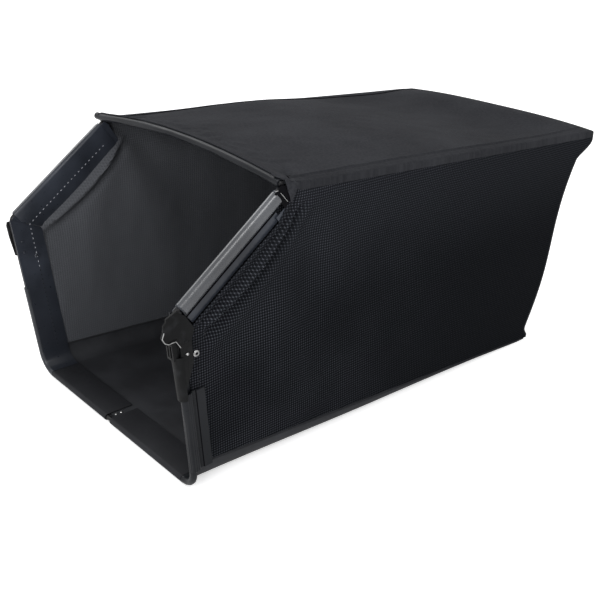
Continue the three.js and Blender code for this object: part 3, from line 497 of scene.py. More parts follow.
def bend_rod(name, path, radius, finish, slot, *nodes, ring=False):
    deselect()
    bpy.ops.curve.primitive_bezier_curve_add()
    rod = bpy.context.object
    rod.data.splines.clear()
    spline = rod.data.splines.new("POLY")
    spline.points.add(len(path) - 1)
    for point, spot in zip(spline.points, path):
        point.co = (*place(*spot), 1)
    spline.use_cyclic_u = ring
    rod.data.bevel_depth = radius / 1000
    rod.data.bevel_resolution = 5
    rod.data.use_fill_caps = not ring
    bpy.ops.object.convert(target="MESH")
    rod = bpy.context.object
    bpy.ops.object.shade_smooth_by_angle(angle=math.radians(40))
    return dress(rod, name, finish, slot, *nodes)


# %% Main loop and rear frame
CORNER_RADIUS, TOP_BEND_RADIUS, REAR_TOP_RADIUS, FOOT_RADIUS = 24, 14, 16, 18
UPRIGHT_INSET = 3.0
HEAD_BELOW_RAIL = 4.9

half_loop = bent_path([
    (0, *FRONT_BAR), (ROD_X, *FRONT_BAR, CORNER_RADIUS), (ROD_X, *HOOK_BEND, HOOK_BEND_RADIUS),
    (ROD_X, *TOP_BEND, TOP_BEND_RADIUS), (REAR_TOP_HALF_WIDTH, *REAR_TOP, REAR_TOP_RADIUS), (0, *REAR_TOP)])
frame_rod = bend_rod("frame_rod", half_loop + mirrored(half_loop)[1:-1], ROD, BLACK_PAINT, "rod",
                     "frame_loop", ring=True)

upright_x = rail(UPRIGHT_TOP_Y)[0] - UPRIGHT_INSET
upright_top = Vector((upright_x, UPRIGHT_TOP_Y, rail(UPRIGHT_TOP_Y)[1]))
rake = (upright_top - Vector((upright_x, *FOOT_BAR))).normalized()
upright_head = upright_top - rake * HEAD_BELOW_RAIL
half_rear = bent_path([tuple(upright_head), (upright_x, *FOOT_BAR, FOOT_RADIUS), (0, *FOOT_BAR)])
rear_rod = bend_rod("rear_rod", half_rear + mirrored(half_rear)[1:], ROD, BLACK_PAINT, "rod", "rear_frame")
print("rod faces", len(frame_rod.data.polygons), len(rear_rod.data.polygons))

# %% Arched cross bar
TOP_BAR = (131.33, 355.03)
TOP_BAR_RIGHT, TOP_BAR_LEFT = 193.5, 205.5
ARCH = 12.0
BAR_STEPS = 36


def arch(x):
    return ARCH * max(0.0, 1 - (x / ROD_X) ** 2)


def bar_run(start, end, steps):
    xs = [mix(start, end, k / steps) for k in range(steps + 1)]
    return [Vector((x, TOP_BAR[0], TOP_BAR[1] + arch(x))) for x in xs]


top_rod = bend_rod("top_rod", bar_run(TOP_BAR_RIGHT, -TOP_BAR_LEFT, BAR_STEPS), ROD, BLACK_PAINT,
                   "rod", "top_cross_bar")
print("cross bar faces", len(top_rod.data.polygons))

# %% [markdown]
# ## Strips, brackets and rivets
#
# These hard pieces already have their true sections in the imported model, as loose
# triangles. Modelling them again would risk a different shape, so each is copied, its
# doubles are merged, and on most a narrow bevel rounds the edges that catch the light.
# The upper rivet and those of the left leg are as dark as what they hold.

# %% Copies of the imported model's pieces
BEVEL_ANGLE = math.radians(35)


def carry(node, name, finish, slot, edge=0.0):
    """A merged copy of a node, leaned like the frame, with its edges rounded."""
    deselect()
    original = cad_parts[node]
    copy = original.copy()
    copy.data = original.data.copy()
    bpy.context.collection.objects.link(copy)
    for key in list(copy.keys()):
        if key.startswith("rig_"):
            del copy[key]
    bpy.context.view_layer.objects.active = copy
    copy.select_set(True)
    bpy.ops.object.mode_set(mode="EDIT")
    bpy.ops.mesh.select_all(action="SELECT")
    bpy.ops.mesh.remove_doubles(threshold=0.00001)
    bpy.ops.mesh.dissolve_limited(angle_limit=math.radians(1))
    bpy.ops.mesh.normals_make_consistent(inside=False)
    bpy.ops.object.mode_set(mode="OBJECT")
    for vertex in copy.data.vertices:
        x, y, z = vertex.co * 1000
        vertex.co.y -= lean(x - MIDDLE_TO_LEFT, y + MOUTH_TO_MIDDLE, z) / 1000
    if edge:
        bevel = copy.modifiers.new("edge", "BEVEL")
        bevel.width, bevel.segments, bevel.angle_limit = edge / 1000, 2, BEVEL_ANGLE
        bpy.ops.object.modifier_apply(modifier=bevel.name)
    bpy.ops.object.shade_smooth_by_angle(angle=math.radians(38))
    return dress(copy, name, finish, slot, node)


# %% Ridge, groove and plate
WEB_FACE, RIDGE_BEHIND, RIDGE_DROP = 3.5, 13.0, 3.0
GROOVE_DEPTH, GROOVE_RUN = (0.3, 4.3), (12.5, 19.8)
PLATE_TOP, PLATE_SHARE = 234.0, 0.85


def beside_rod(spot, side):
    """How far a place on a strip lies outside the mouth's rod, and how far behind it."""
    outside = side * (spot.x * 1000 - MIDDLE_TO_LEFT) - ROD_X
    return outside, mouth_place(spot.y * 1000 + MOUTH_TO_MIDDLE, spot.z * 1000)[0]


def let_down_ridge(strip, side):
    """The back edge of the slant's outer web lies under the crowned cover."""
    for vertex in strip.data.vertices:
        outside, behind = beside_rod(vertex.co, side)
        if outside > WEB_FACE and abs(behind - RIDGE_BEHIND) < 1.2:
            vertex.co.x -= side * RIDGE_DROP / 1000


def paint_groove_shade(strip, side):
    """Paints shade, as a near-black colour, into the sunk band between leg and lip."""
    strip.data.materials.append(PAINTED_SHADE)
    for face in strip.data.polygons:
        outside, behind = beside_rod(face.center, side)
        if GROOVE_DEPTH[0] < outside < GROOVE_DEPTH[1] and GROOVE_RUN[0] < behind < GROOVE_RUN[1]:
            face.material_index = 1


def narrow_plate(plate):
    """The left plate is seen edge on: its front is rounded back to the leg."""
    for vertex in plate.data.vertices:
        vertex.co.z = min(vertex.co.z, PLATE_TOP / 1000)
        y, z = vertex.co.y * 1000 + MOUTH_TO_MIDDLE, vertex.co.z * 1000
        front = leg_y(z) - lean(-ROD_X, 0, z) - CLIP_OUTSIDE
        if y < front:
            vertex.co.y += (front - y) * PLATE_SHARE / 1000


print("the ridge is let down by", RIDGE_DROP, "mm")

# %% Hard pieces
STRIP_EDGE, RIVET_EDGE, BRACKET_EDGE = 0.15, 0.2, 0.35

for side, hand in SIDES:
    slant_strip = carry(f"upper_channel_{hand}", f"slant_strip_{hand}", STRIP, "strip", STRIP_EDGE)
    let_down_ridge(slant_strip, side)
    paint_groove_shade(slant_strip, side)
    # On the right, the leg strip takes the darker copy, painted shade.
    leg_finish, eyelet, upper, lower = (
        (SHADED_STRIP, WORN_ZINC_AND_HIGHLIGHT, NYLON, WORN_ZINC_AND_HIGHLIGHT) if side > 0 else (STRIP, STRIP, STRIP, STRIP))
    paint_groove_shade(carry(f"lower_channel_{hand}", f"leg_strip_{hand}", leg_finish, "strip"), side)
    carry(f"bottom_channel_{hand}", f"bottom_strip_{hand}", FLOOR_STRIP, "strip", STRIP_EDGE)
    bracket = carry(f"hook_bracket_{hand}", f"hook_{hand}", NYLON, "bracket", BRACKET_EDGE)
    if side < 0:
        narrow_plate(bracket)
    carry(f"eyelet_{hand}", f"eyelet_ring_{hand}", eyelet, "rivet", RIVET_EDGE)
    carry(f"bracket_rivet_upper_{hand}", f"rivet_upper_{hand}", upper, "rivet", RIVET_EDGE)
    carry(f"bracket_rivet_lower_{hand}", f"rivet_lower_{hand}", lower, "rivet", RIVET_EDGE)
carry("top_channel", "top_strip", SHADED_STRIP, "strip")
for number in (1, 2):
    carry(f"floor_rivet_{number}", f"floor_rivet_head_{number}", ZINC, "rivet", RIVET_EDGE)

# %% [markdown]
# ## Side panels
#
# A side panel is one flat cut of mesh, sewn to the flange in front, to the top along
# the rail, to the rear panel and to the floor. Slack cloth gathers behind the slanted
# strip, hangs in long folds from the upper corner, and hollows inwards where nothing
# holds it. A simulation would find some folds, but not these, so the sheet is laid by a
# function of two shares, s to the rear and t upwards: its outline first, and then the
# folds one by one.

# %% Edges of a side panel
SIDE_HEM_Z = 34.0
HEM_ROLL = 1.7
CLOTH_SETBACK = 11.0
SIDE_TOP_Y = 138.0
FOOT_Y = 626.0
REAR_TOP_Y = REAR_TOP[0] + ROD + 0.3 + CLOTH


def seam_x(y):
    return rail(y)[0] + 5.2


def seam_z(y):
    return rail(y)[1] + 4.7


def rear_edge_y(z):
    share = z / seam_z(REAR_TOP_Y)
    straight = mix(FOOT_Y, REAR_TOP_Y - 22, share)
    phase = min(1.0, max(0.0, (share - 0.07) / 0.85))
    wall = straight + 7 * math.sin(2 * math.pi * phase) + 12 * bump(share, 0.012, 0.03)
    return mix(wall, REAR_TOP_Y, smooth(share, 0.88, 0.96))


def hem_z(y):
    start = leg_y(SIDE_HEM_Z) + CLOTH_SETBACK
    return max(0.0, SIDE_HEM_Z * (FOOT_Y - y) / (FOOT_Y - start))


def along_chain(chain, share):
    steps = [(b - a).length for a, b in zip(chain, chain[1:])]
    left = share * sum(steps)
    for a, b, step in zip(chain, chain[1:], steps):
        if left <= step:
            return a.lerp(b, left / step)
        left -= step
    return chain[-1].copy()


def set_back(rod, distance):
    """A bent path in the side view, moved sideways into the bag."""
    line = []
    for k, here in enumerate(rod):
        run = (rod[min(k + 1, len(rod) - 1)] - rod[max(k - 1, 0)]).normalized()
        line.append((here + Vector((0, run.z, -run.y)) * distance).yz)
    return line


print("rear edge at the floor", round(rear_edge_y(0)), "mm")


# %% Outline of a side panel
def front_chain():
    rod = bent_path([(0, leg_y(SIDE_HEM_Z), SIDE_HEM_Z), (0, *HOOK_BEND, HOOK_BEND_RADIUS),
                     (0, TOP_BEND[0] - 2, TOP_BEND[1] - 1.5)])
    chain = [Vector((y, max(z, hem_z(y) + HEM_ROLL))) for y, z in set_back(rod, CLOTH_SETBACK)]
    return chain + [Vector((SIDE_TOP_Y, seam_z(SIDE_TOP_Y) - HEM_ROLL))]


FRONT_CHAIN = front_chain()
REAR_TOP_Z = seam_z(REAR_TOP_Y) - HEM_ROLL


def side_outline(s, t):
    """The place of two shares between the four edges, in the side view."""
    front = along_chain(FRONT_CHAIN, t)
    rear_z = mix(HEM_ROLL, REAR_TOP_Z, t)
    rear = Vector((rear_edge_y(rear_z) - HEM_ROLL, rear_z))
    low_front, high_front = FRONT_CHAIN[0], FRONT_CHAIN[-1]
    low_rear = Vector((rear_edge_y(HEM_ROLL) - HEM_ROLL, HEM_ROLL))
    high_rear = Vector((rear_edge_y(REAR_TOP_Z) - HEM_ROLL, REAR_TOP_Z))
    low, high = low_front.lerp(low_rear, s), high_front.lerp(high_rear, s)
    low.y, high.y = hem_z(low.x) + HEM_ROLL, seam_z(high.x) - HEM_ROLL
    straight = low_front.lerp(low_rear, s).lerp(high_front.lerp(high_rear, s), t)
    return front.lerp(rear, s) + low.lerp(high, t) - straight


print("upper rear corner of the sides", [round(v) for v in side_outline(1, 1)])


# %% Folds of a side panel
def gathers(y, z, inward):
    """Folds that run down beside the slanted strip and fan out from the upper corner."""
    _, behind, up_slant = mouth_place(y, z)
    bow = math.sin(math.pi * min(1.0, max(0.0, up_slant)))
    if inward:
        reach = smooth(up_slant, -0.02, 0.25) * (1 - smooth(up_slant, 0.85, 1.12))
        middle = 36 + 11 * bow
        twist = 1 + 0.07 * math.sin(up_slant * SLANT_LENGTH / 1.3 + behind / 2)
        roll = -11.0 * twist * bump(behind, middle, 3.4 + 3.6 * bow)
        return reach * (roll + 3.0 * bump(behind, middle + 14, 6))
    reach = smooth(up_slant, -0.3, 0.1) * (1 - smooth(up_slant, 1.02, 1.2))
    middle = 52 - 60 * (up_slant - 0.47) ** 2
    wide = 6.0 - 2.4 * min(1.0, max(0.0, up_slant))
    puckers = 1 + 0.2 * math.sin(up_slant * SLANT_LENGTH / 1.7 + behind / 4)
    ridge = 8.0 * puckers * bump(behind, middle, wide)
    front_valley = -3.0 * bump(behind, middle - 1.9 * wide, 0.8 * wide)
    valley = -5.5 * bump(behind, middle + 2.2 * wide, 1.1 * wide)
    second = 3.6 * bump(behind, middle + 5.2 * wide, 2.0 * wide)
    return reach * (ridge + front_valley + valley + second)


def corner_folds(y, z, seed):
    """Long folds that hang from the upper front corner and die out in the panel."""
    dy, dz = y - 150, 345 - z
    distance = math.hypot(dy, dz)
    angle = math.atan2(dz, dy)
    wander = 0.25 * noise.noise(Vector((distance / 120, seed, 0)))
    strength = smooth(distance, 30, 110) * (1 - smooth(distance, 190, 380))
    return 1.7 * strength * math.sin(9 * (angle + wander)) * smooth(angle, 0.12, 0.4)


print("gathers stand out by", round(gathers(*beside_slant(SLANT_LENGTH / 2, 52), False), 1), "mm")


# %% Surface of a side panel
def side_sheet(inward, seed):
    """Lays one side; the left one's gathers fold inwards."""
    def surface(s, t):
        t = 0.5 - 0.5 * math.cos(math.pi * t)
        y, z = side_outline(s, t)
        behind, _, up_slant = mouth_place(y, z)
        height = (z - SIDE_HEM_Z) / (seam_z(y) - SIDE_HEM_Z)
        flare_from = mix(0.95, 0.75, smooth(y, TOP_BEND[0], TOP_BEND[0] + 60))
        flare = (seam_x(y) - CLOTH_X) * smooth(height, flare_from, 0.975)
        free = smooth(behind, LIP_EDGE, FLANGE + 8)
        held = math.sin(math.pi * t) * (1 - smooth(height, 0.9, 0.99)) * (1 - smooth(s, 0.93, 1))
        slack = -5.5 * math.sin(math.pi * min(1, s * 1.05)) * math.sin(math.pi * t)
        slack += 4.5 * bump(s, 0.26, 0.13) * bump(t, 0.3, 0.22)
        ripple = 1.1 * noise.noise(Vector((y / 46, z / 90, seed)))
        ripple += 0.45 * noise.noise(Vector((y / 17, z / 30, seed + 5)))
        folds = corner_folds(y, z, seed) + ripple
        rise = free * (slack * min(1.0, held * 2.2) + (folds + gathers(y, z, inward)) * min(1.0, held * 3))
        return CLOTH_X + flare + rise, y, z
    return surface


def left_of(surface):
    def flipped(s, t):
        x, y, z = surface(s, t)
        return -x, y, z
    return flipped


right_surface, left_surface = side_sheet(False, 0.0), left_of(side_sheet(True, 7.0))
print("middle of the right side stands at", [round(v) for v in right_surface(0.5, 0.5)])


# %% Laying and sewing a sheet
def lay_sheet(name, surface, columns, rows, thickness, outwards, weave, finish, slot, *nodes):
    """A grid laid by a function, with two axes as UV map in metres, and then its thickness."""
    deselect()
    bpy.ops.mesh.primitive_grid_add(x_subdivisions=columns, y_subdivisions=rows, size=2)
    piece = bpy.context.object
    for vertex in piece.data.vertices:
        vertex.co = place(*surface((vertex.co.x + 1) / 2, (vertex.co.y + 1) / 2))
    middle = piece.data.polygons[len(piece.data.polygons) // 2 + columns // 2]
    if middle.normal.dot(Vector(outwards)) < 0:
        piece.data.flip_normals()
    uv = piece.data.uv_layers.active.data
    for loop in piece.data.loops:
        co = piece.data.vertices[loop.vertex_index].co
        uv[loop.index].uv = (co[weave[0]], co[weave[1]])
    area = sum(face.area for face in piece.data.polygons)
    if isinstance(finish, tuple):
        for material in finish:
            piece.data.materials.append(material)
    body = piece.modifiers.new("thickness", "SOLIDIFY")
    body.thickness, body.offset = thickness / 1000, -1
    body.material_offset = 1 if isinstance(finish, tuple) else 0
    bpy.ops.object.modifier_apply(modifier=body.name)
    bpy.ops.object.shade_smooth_by_angle(angle=math.radians(50))
    print(name, "area", round(area, 4), "m2,", len(piece.data.polygons), "faces")
    return dress(piece, name, finish, slot, *nodes)


right_side = lay_sheet("side_cloth_right", right_surface, 240, 120, CLOTH, (1, 0, 0), (Y, Z),
                       (MESH_FOLD_HIGHLIGHT, MESH_INSIDE_PAINTED_LIGHT), "netting", "side_panel_right")
left_side = lay_sheet("side_cloth_left", left_surface, 220, 110, CLOTH, (-1, 0, 0), (Y, Z),
                      (MESH_OUTSIDE, MESH_INSIDE_PAINTED_LIGHT), "netting", "side_panel_left")

# %% [markdown]
# ## Top, rear and floor
#
# The top is stretched over the two rails and the cross bar, billows behind the bar, sags,
# and billows again before the rear bar. A tuck runs in from each front corner. The rear
# panel swells, hollows, and is pulled out over the rear bar. The floor is one coated
# cloth that curls up at both sides.

# %% Top panel
BAR_LIFT = TOP_BAR[1] + CLIP_OUTSIDE + 0.3 + CLOTH - seam_z(TOP_BAR[0])


def top_surface_at(x, y):
    side = min(1.0, abs(x) / seam_x(y))
    lift = BAR_LIFT * bump(y, TOP_BAR[0], 16)
    crown = 1 - side ** 7 if x < 0 else 1 - side ** 2.2
    puff = 13 * bump(y, 370, 125) * crown
    sag = 5 * bump(y, 610, 75) * smooth(1 - side, 0.05, 0.3)
    inner = smooth(1 - side, 0.0, 0.14)
    ripple = 1.5 * noise.noise(Vector((x / 60, y / 110, 3)))
    ripple += 0.5 * noise.noise(Vector((x / 22, y / 30, 9)))
    ripple += 2.2 * noise.noise(Vector((x / 16, y / 14, 5))) * bump(y, TOP_BAR[0] + 30, 28)
    dy, dx = y - TOP_BAR[0], ROD_X - abs(x)
    tuck = -3.6 * bump(dy - 15.5 - 0.6 * dx, 0, 3.2) * bump(math.hypot(dx, dy), 38, 20)
    billow = 11.0 * bump(y, 714, 45) * (1 - side ** 3)
    flat = smooth(y, TOP_BAR[0], TOP_BAR[0] + 37) * (1 - smooth(y, REAR_TOP_Y - 37, REAR_TOP_Y))
    z = seam_z(y) + lift + arch(x) * bump(y, TOP_BAR[0], 150) + puff - sag
    return z + inner * ripple * flat + tuck + billow


def top_surface(s, t):
    y = mix(TOP_BAR[0] + 0.6, REAR_TOP_Y, s)
    x = (2 * t - 1) * seam_x(y)
    return x, y, top_surface_at(x, y)


top = lay_sheet("top_cloth", top_surface, 150, 110, CLOTH, (0, 0, 1), (X, Y), TOP_CLOTH,
                "top_cloth", "top_panel")


# %% Rear panel
def rear_surface(s, t):
    t = 0.5 - 0.5 * math.cos(math.pi * t)
    z = mix(HEM_ROLL, REAR_TOP_Z, t)
    x = mix(-1, 1, s) * (seam_x(REAR_TOP[0]) - 0.4)
    side = x / seam_x(REAR_TOP[0])
    slack = 7 * math.sin(math.pi * min(1, t / 0.9)) * (1 - side ** 2)
    ripple = 1.2 * noise.noise(Vector((x / 50, z / 80, 21))) * math.sin(math.pi * t) * (1 - side ** 4)
    return x, rear_edge_y(z) - slack + ripple, z


rear = lay_sheet("rear_cloth", rear_surface, 110, 90, CLOTH, (0, 1, 0), (X, Z),
                 (MESH_OUTSIDE, MESH_INSIDE_PAINTED_LIGHT), "netting", "rear_panel")

# %% Floor
FLOOR_FRONT = (9.9, 6.85)
VINYL = 1.0
HEM_CURL = CLOTH_X - (ROD_X - CORNER_RADIUS)
FLOOR_REAR_Y = rear_edge_y(1.5) - 3.8


def floor_surface(s, t):
    y = mix(FLOOR_FRONT[0], FLOOR_REAR_Y, s)
    low = FLOOR_FRONT[1] * (1 - smooth(s, 0, 0.5))
    inwards = min(t, 1 - t) / 0.25
    angle = math.pi / 2 * max(0.0, 1 - inwards)
    flat = (CLOTH_X - HEM_CURL) * min(1.0, 2 - inwards)
    x = math.copysign(flat + HEM_CURL * math.sin(angle), t - 0.5)
    rise = max(0.0, hem_z(y) - low) * (1 - math.cos(angle))
    ripple = 0.9 * noise.noise(Vector((x / 60, y / 60, 33)))
    ripple *= math.sin(math.pi * s) * smooth(inwards, 0.8, 1.3)
    return x, y, low + rise + max(0.0, ripple)


floor_cloth = lay_sheet("floor_cloth", floor_surface, 130, 90, VINYL, (0, 0, -1), (X, Y), COATED,
                        "vinyl", "floor_panel")

# %% [markdown]
# ## Seams
#
# The top's cloth ends in a doubled band that passes over the rail and is sewn down on the
# side, with a raised edge. A thin near-black rod beside that edge is painted shade, the
# shadow line along the seam. A band of its own keeps that edge sharp.
# It follows the surfaces that it joins, so it is laid along the same functions.

# %% Top seam
WRAP_WIDTH = 17.5
WRAP_DROP = 9.0
WRAP_START = TOP_BAR[0] + 19


def wrap_surface(side):
    """The doubled band over the rail; t runs across it, from the top to the side."""
    def surface(s, t):
        y = mix(WRAP_START, REAR_TOP_Y - 2, s)
        edge = seam_x(y)
        across = t * (WRAP_WIDTH + WRAP_DROP)
        if across < WRAP_WIDTH:
            x = edge - WRAP_WIDTH + across
            ridge = (2.4 if side > 0 else 0.8) * bump(across, 3.4, 2.2) + 0.5 * bump(across, 10, 3)
            ridge = (ridge + 0.6) * (1 - smooth(y, REAR_TOP_Y - 45, REAR_TOP_Y - 8)) - 0.6
            round_off = 1.2 * smooth(across, WRAP_WIDTH - 3, WRAP_WIDTH) ** 2
            out = x + 0.9 * smooth(across, WRAP_WIDTH - 4, WRAP_WIDTH)
            return side * out, y, top_surface_at(side * x, y) + 1.0 + ridge - round_off
        drop = across - WRAP_WIDTH
        swell = 0.5 * math.sin(math.pi * drop / WRAP_DROP)
        pucker = 0.35 * noise.noise(Vector((y / 7, drop / 5, 2)))
        return side * (edge + 0.9 + swell + pucker), y, top_surface_at(side * edge, y) - 0.2 - drop
    return surface


def seam_shade_line(side, steps=60):
    line = []
    for k in range(steps + 1):
        y = mix(WRAP_START, REAR_TOP_Y - 12, k / steps)
        x = side * (seam_x(y) - WRAP_WIDTH - 0.3)
        line.append(Vector((x, y, top_surface_at(x, y) + 0.35)))
    return line


for side, hand in SIDES:
    lay_sheet(f"seam_wrap_{hand}", wrap_surface(side), 220, 22, 0.8, (side, 0, 1), (Y, X), TOP_CLOTH,
              "tape", f"top_binding_{hand}")
    # A thin near-black rod along the seam is painted shade, the shadow line beside the raised edge.
    bend_rod(f"seam_shade_line_{hand}", seam_shade_line(side), 0.75, PAINTED_SHADE, "tape")

# %% [markdown]
# ## Cloth round the front corners
#
# At each front corner the top's cloth is folded down over the end of the cross bar. It
# could be part of the top, but for so tight a fold a small sheet of its own is cleaner.


# %% Corner cloths
def corner_cloth(side):
    """A front corner, folded over the rail and tucked in behind the strip's end."""
    front_shift = 0 if side > 0 else -6

    def surface(s, t):
        t = t if side > 0 else 0.5 + t / 2
        y = mix(mix(125, 142, t) + front_shift, mix(154, 144, smooth(t, 0.4, 1)), s)
        pucker = 1.6 * noise.noise(Vector((y / 5, t * 6, side))) + 0.8 * math.sin(y / 2.2 + 6 * t)
        if t < 0.5:
            x = mix(180, 196.4, t * 2)
            over_top = 1.2 + 0.4 * pucker - 2 * smooth(t, 0.35, 0.5)
            return side * x, y, top_surface_at(side * min(x, 195), y) + over_top
        drop = (t - 0.5) * 2
        z = top_surface_at(side * 195, y) - 0.8 - 24 * drop
        return side * (196.8 + 0.8 * math.sin(math.pi * drop) + 0.6 * pucker), y, z
    return surface


for side, hand in SIDES:
    lay_sheet(f"corner_cloth_{hand}", corner_cloth(side), 48, 48, 0.9, (side, 0, 1), (Y, Z),
              TOP_CLOTH, "top_cloth")

# %% [markdown]
# ## Covers and ends of the slanted strips
#
# The slanted strip's outer web is rounded, and the mesh comes out puckered under its lip.
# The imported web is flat, so a thin crowned sheet is laid over it: a curve stretches a
# lamp's reflection into a stripe, which a flat face can't do.

# %% Rounded covers and lip ends
COVER_RUN, TAIL_RUN = (8.6, 172.5), (156, 181)
COVER_MIDDLE, COVER_HALF, COVER_HEIGHT = 3.7, 8.9, 6.4


def slant_cover(side):
    """The crowned outer web of a slanted strip."""
    def surface(s, t):
        angle = math.radians(mix(24, 205, t))
        spot = beside_slant(mix(*COVER_RUN, s), COVER_MIDDLE + COVER_HALF * math.cos(angle))
        return side * (ROD_X + 0.4 + COVER_HEIGHT * math.sin(angle)), *spot
    return surface


def lip_tail(side):
    """The lip runs out under the gathered cloth at the top."""
    def surface(s, t):
        edge = mix(26.0, 20.2, smooth(s, 0.2, 1))
        return side * (ROD_X + 4.75), *beside_slant(mix(*TAIL_RUN, s), mix(19.1, edge, t))
    return surface


for side, hand in SIDES:
    # The covers take the strip's paler copy, painted light.
    lay_sheet(f"slant_cover_{hand}", slant_cover(side), 40, 40, 0.9, (side, 0, 0), (Y, Z),
              LIT_COVER_STRIP, "strip")
    lay_sheet(f"lip_tail_{hand}", lip_tail(side), 20, 8, 1.0, (side, 0, 0), (Y, Z), STRIP, "strip")

# %% Gathered hem and sleeves of the cross bar
BAR_SLEEVE = 4.85
SLEEVE_RUNS = {"right": (175.5, 190.5), "left": (-204.8, -176)}


def gathered_hem(s, t):
    """The cloth's puckered edge comes out from under the lip."""
    along = mix(-4, TAIL_RUN[1], s)
    behind = mix(26.0, 38.0, t) - 8 * smooth(along, 150, TAIL_RUN[1])
    pucker = math.sin(along / 1.1 + 2.5 * t + 2 * noise.noise(Vector((along / 9, 0, 4))))
    out = 5.6 * (1 - smooth(t, 0.3, 1)) + (0.35 + 0.6 * t) * pucker - 2.6 * smooth(t, 0.5, 1)
    return ROD_X + out, *beside_slant(along, behind)


lay_sheet("gathered_hem_right", gathered_hem, 300, 12, 0.6, (1, 0, 0), (Y, Z), MESH_OUTSIDE, "netting")
for hand, (low, high) in SLEEVE_RUNS.items():
    bend_rod(f"bar_sleeve_{hand}", bar_run(low, high, 6), BAR_SLEEVE, SHADED_STRIP, "strip")
print("sleeves", list(SLEEVE_RUNS))

# %% [markdown]
# ## Closed corners
#
# The flanges are mitred where two strips meet, and the real corners show no gap. A small
# plate closes each corner from behind, which leaves the mitres as they are, and a tongue
# does the same under the joint of the bottom strips.


# %% Small plates across the mitres
def gusset(name, side, outline, depth=-3.9, finish=STRIP):
    """A small plate across a mitre; its outline is given in the side view."""
    deselect()
    bpy.ops.mesh.primitive_circle_add(vertices=len(outline), fill_type="NGON")
    piece = bpy.context.object
    for vertex, (y, z) in zip(piece.data.vertices, outline):
        vertex.co = place(side * (ROD_X + depth), y, z)
    if piece.data.polygons[0].normal.x * side * depth < 0:
        piece.data.flip_normals()
    body = piece.modifiers.new("thickness", "SOLIDIFY")
    body.thickness, body.offset = 0.0009, -1
    bpy.ops.object.modifier_apply(modifier=body.name)
    return dress(piece, name, finish, "strip")


HOOK_CORNER = ((-12.5, 232), (-1, 224), (6, 233), (-8, 245), (-13, 241))
TOP_CORNER = ((171, -2), (171, 36), (181, 34), (184.5, 6), (183, -1))
CLIP_END_SHADE = ((171, -5), (171, 19), (180, 20.5), (189, 14), (189, 0), (183, -6))

for side, hand in SIDES:
    gusset(f"hook_gusset_{hand}", side, HOOK_CORNER)
    gusset(f"top_gusset_{hand}", side, [beside_slant(*spot) for spot in TOP_CORNER])
# Painted shade: a near-black plate fills the hollow at the right clip's end.
gusset("clip_end", 1, [beside_slant(*spot) for spot in CLIP_END_SHADE], 5.3, PAINTED_SHADE)
print("closed corners", 2 * len(SIDES) + 1)

# %% Joint of the bottom strips
JOINT_X, TONGUE_HALF = -8.0, 12.0


def joint_surface(s, t):
    """The tongue under the joint."""
    return mix(JOINT_X - TONGUE_HALF, JOINT_X + TONGUE_HALF, s), mix(FRONT_BAR[0], 46, t), 6.6 - 0.4 * t


lay_sheet("joint_tongue", joint_surface, 6, 8, 1.0, (0, 0, 1), (X, Y), FLOOR_STRIP, "strip")

# %% [markdown]
# ## Painted highlights
#
# The rim of the hook's nose and the end of the top clip carry painted highlights, as thin
# bright zinc wires. At this size a highlight on an edge is a line of light, which a thin wire
# shows better than a painted mask.

# %% Painted highlights on edges
NOSE_HIGHLIGHT = ((-32.8, 224.9), (-35.4, 218.1), (-32.6, 212.6), (-27.8, 209.6), (-23.0, 210.2),
            (-18.5, 210.2), (-12.6, 201))
CLIP_DEPTH = ROD_X + 6.1


def highlight_wire(name, depth, spots, radius):
    return bend_rod(name, [Vector((depth, *spot)) for spot in spots], radius, WORN_ZINC_AND_HIGHLIGHT, "rivet")


hook_vertices = bpy.data.objects["hook_right"].data.vertices
nose = max(vertex.co.x for vertex in hook_vertices) * 1000 - MIDDLE_TO_LEFT
# Painted highlights: thin bright wires along the nose's rim and at the clip's end.
highlight_wire("nose_highlight", nose - 0.3, NOSE_HIGHLIGHT, 0.5)
highlight_wire("clip_highlight", CLIP_DEPTH, [beside_slant(177, -1), beside_slant(178, 15)], 0.45)
highlight_wire("clip_tip_highlight", CLIP_DEPTH, [beside_slant(173, -7.5), beside_slant(176, -5.5)], 0.6)
print("hook plate reaches to", round(nose, 1))

# %% [markdown]
# ## Stitches and rolled hems
#
# A row of stitches holds the mesh on the flange and shows as pale dashes inside the left
# slant. One stitch is modelled with few faces and copied along the row. The mesh is rolled
# up and sewn along its lower edge and its rear corners.

# %% Stitches
STITCH_LENGTH, STITCH_WIDTH = 3.0, 1.25
STITCH_PITCH = 7.0


def stitch_run(name, spots, normal, finish):
    """Lays a copy of one stitch at each spot, along the row."""
    deselect()
    bpy.ops.mesh.primitive_uv_sphere_add(segments=8, ring_count=5, radius=0.5)
    first = bpy.context.object
    shape = first.data.copy()
    bpy.data.objects.remove(first)
    size = Matrix.Diagonal((STITCH_LENGTH / 1000, STITCH_WIDTH / 1000, STITCH_WIDTH / 1400, 1))
    run = bmesh.new()
    for k, spot in enumerate(spots):
        ahead = spots[min(k + 1, len(spots) - 1)] - spots[max(k - 1, 0)]
        ahead.normalize()
        aside = normal.cross(ahead).normalized()
        turn = Matrix((ahead, aside, normal)).transposed().to_4x4()
        one = shape.copy()
        one.transform(Matrix.Translation(spot) @ turn @ size)
        run.from_mesh(one)
        bpy.data.meshes.remove(one)
    mesh = bpy.data.meshes.new(name)
    run.to_mesh(mesh)
    run.free()
    piece = bpy.data.objects.new(name, mesh)
    bpy.context.collection.objects.link(piece)
    bpy.context.view_layer.objects.active = piece
    piece.select_set(True)
    bpy.ops.object.shade_smooth()
    return dress(piece, name, finish, "tape")


# %% Rows of stitches beside the mouth's rod
PALE_FROM = 162.0
OFF_FACE = 0.15


def crossing(first, second):
    (a, b), (c, d) = first, second
    run, other = b - a, d - c
    share = ((c - a).x * other.y - (c - a).y * other.x) / (run.x * other.y - run.y * other.x)
    return a + run * share


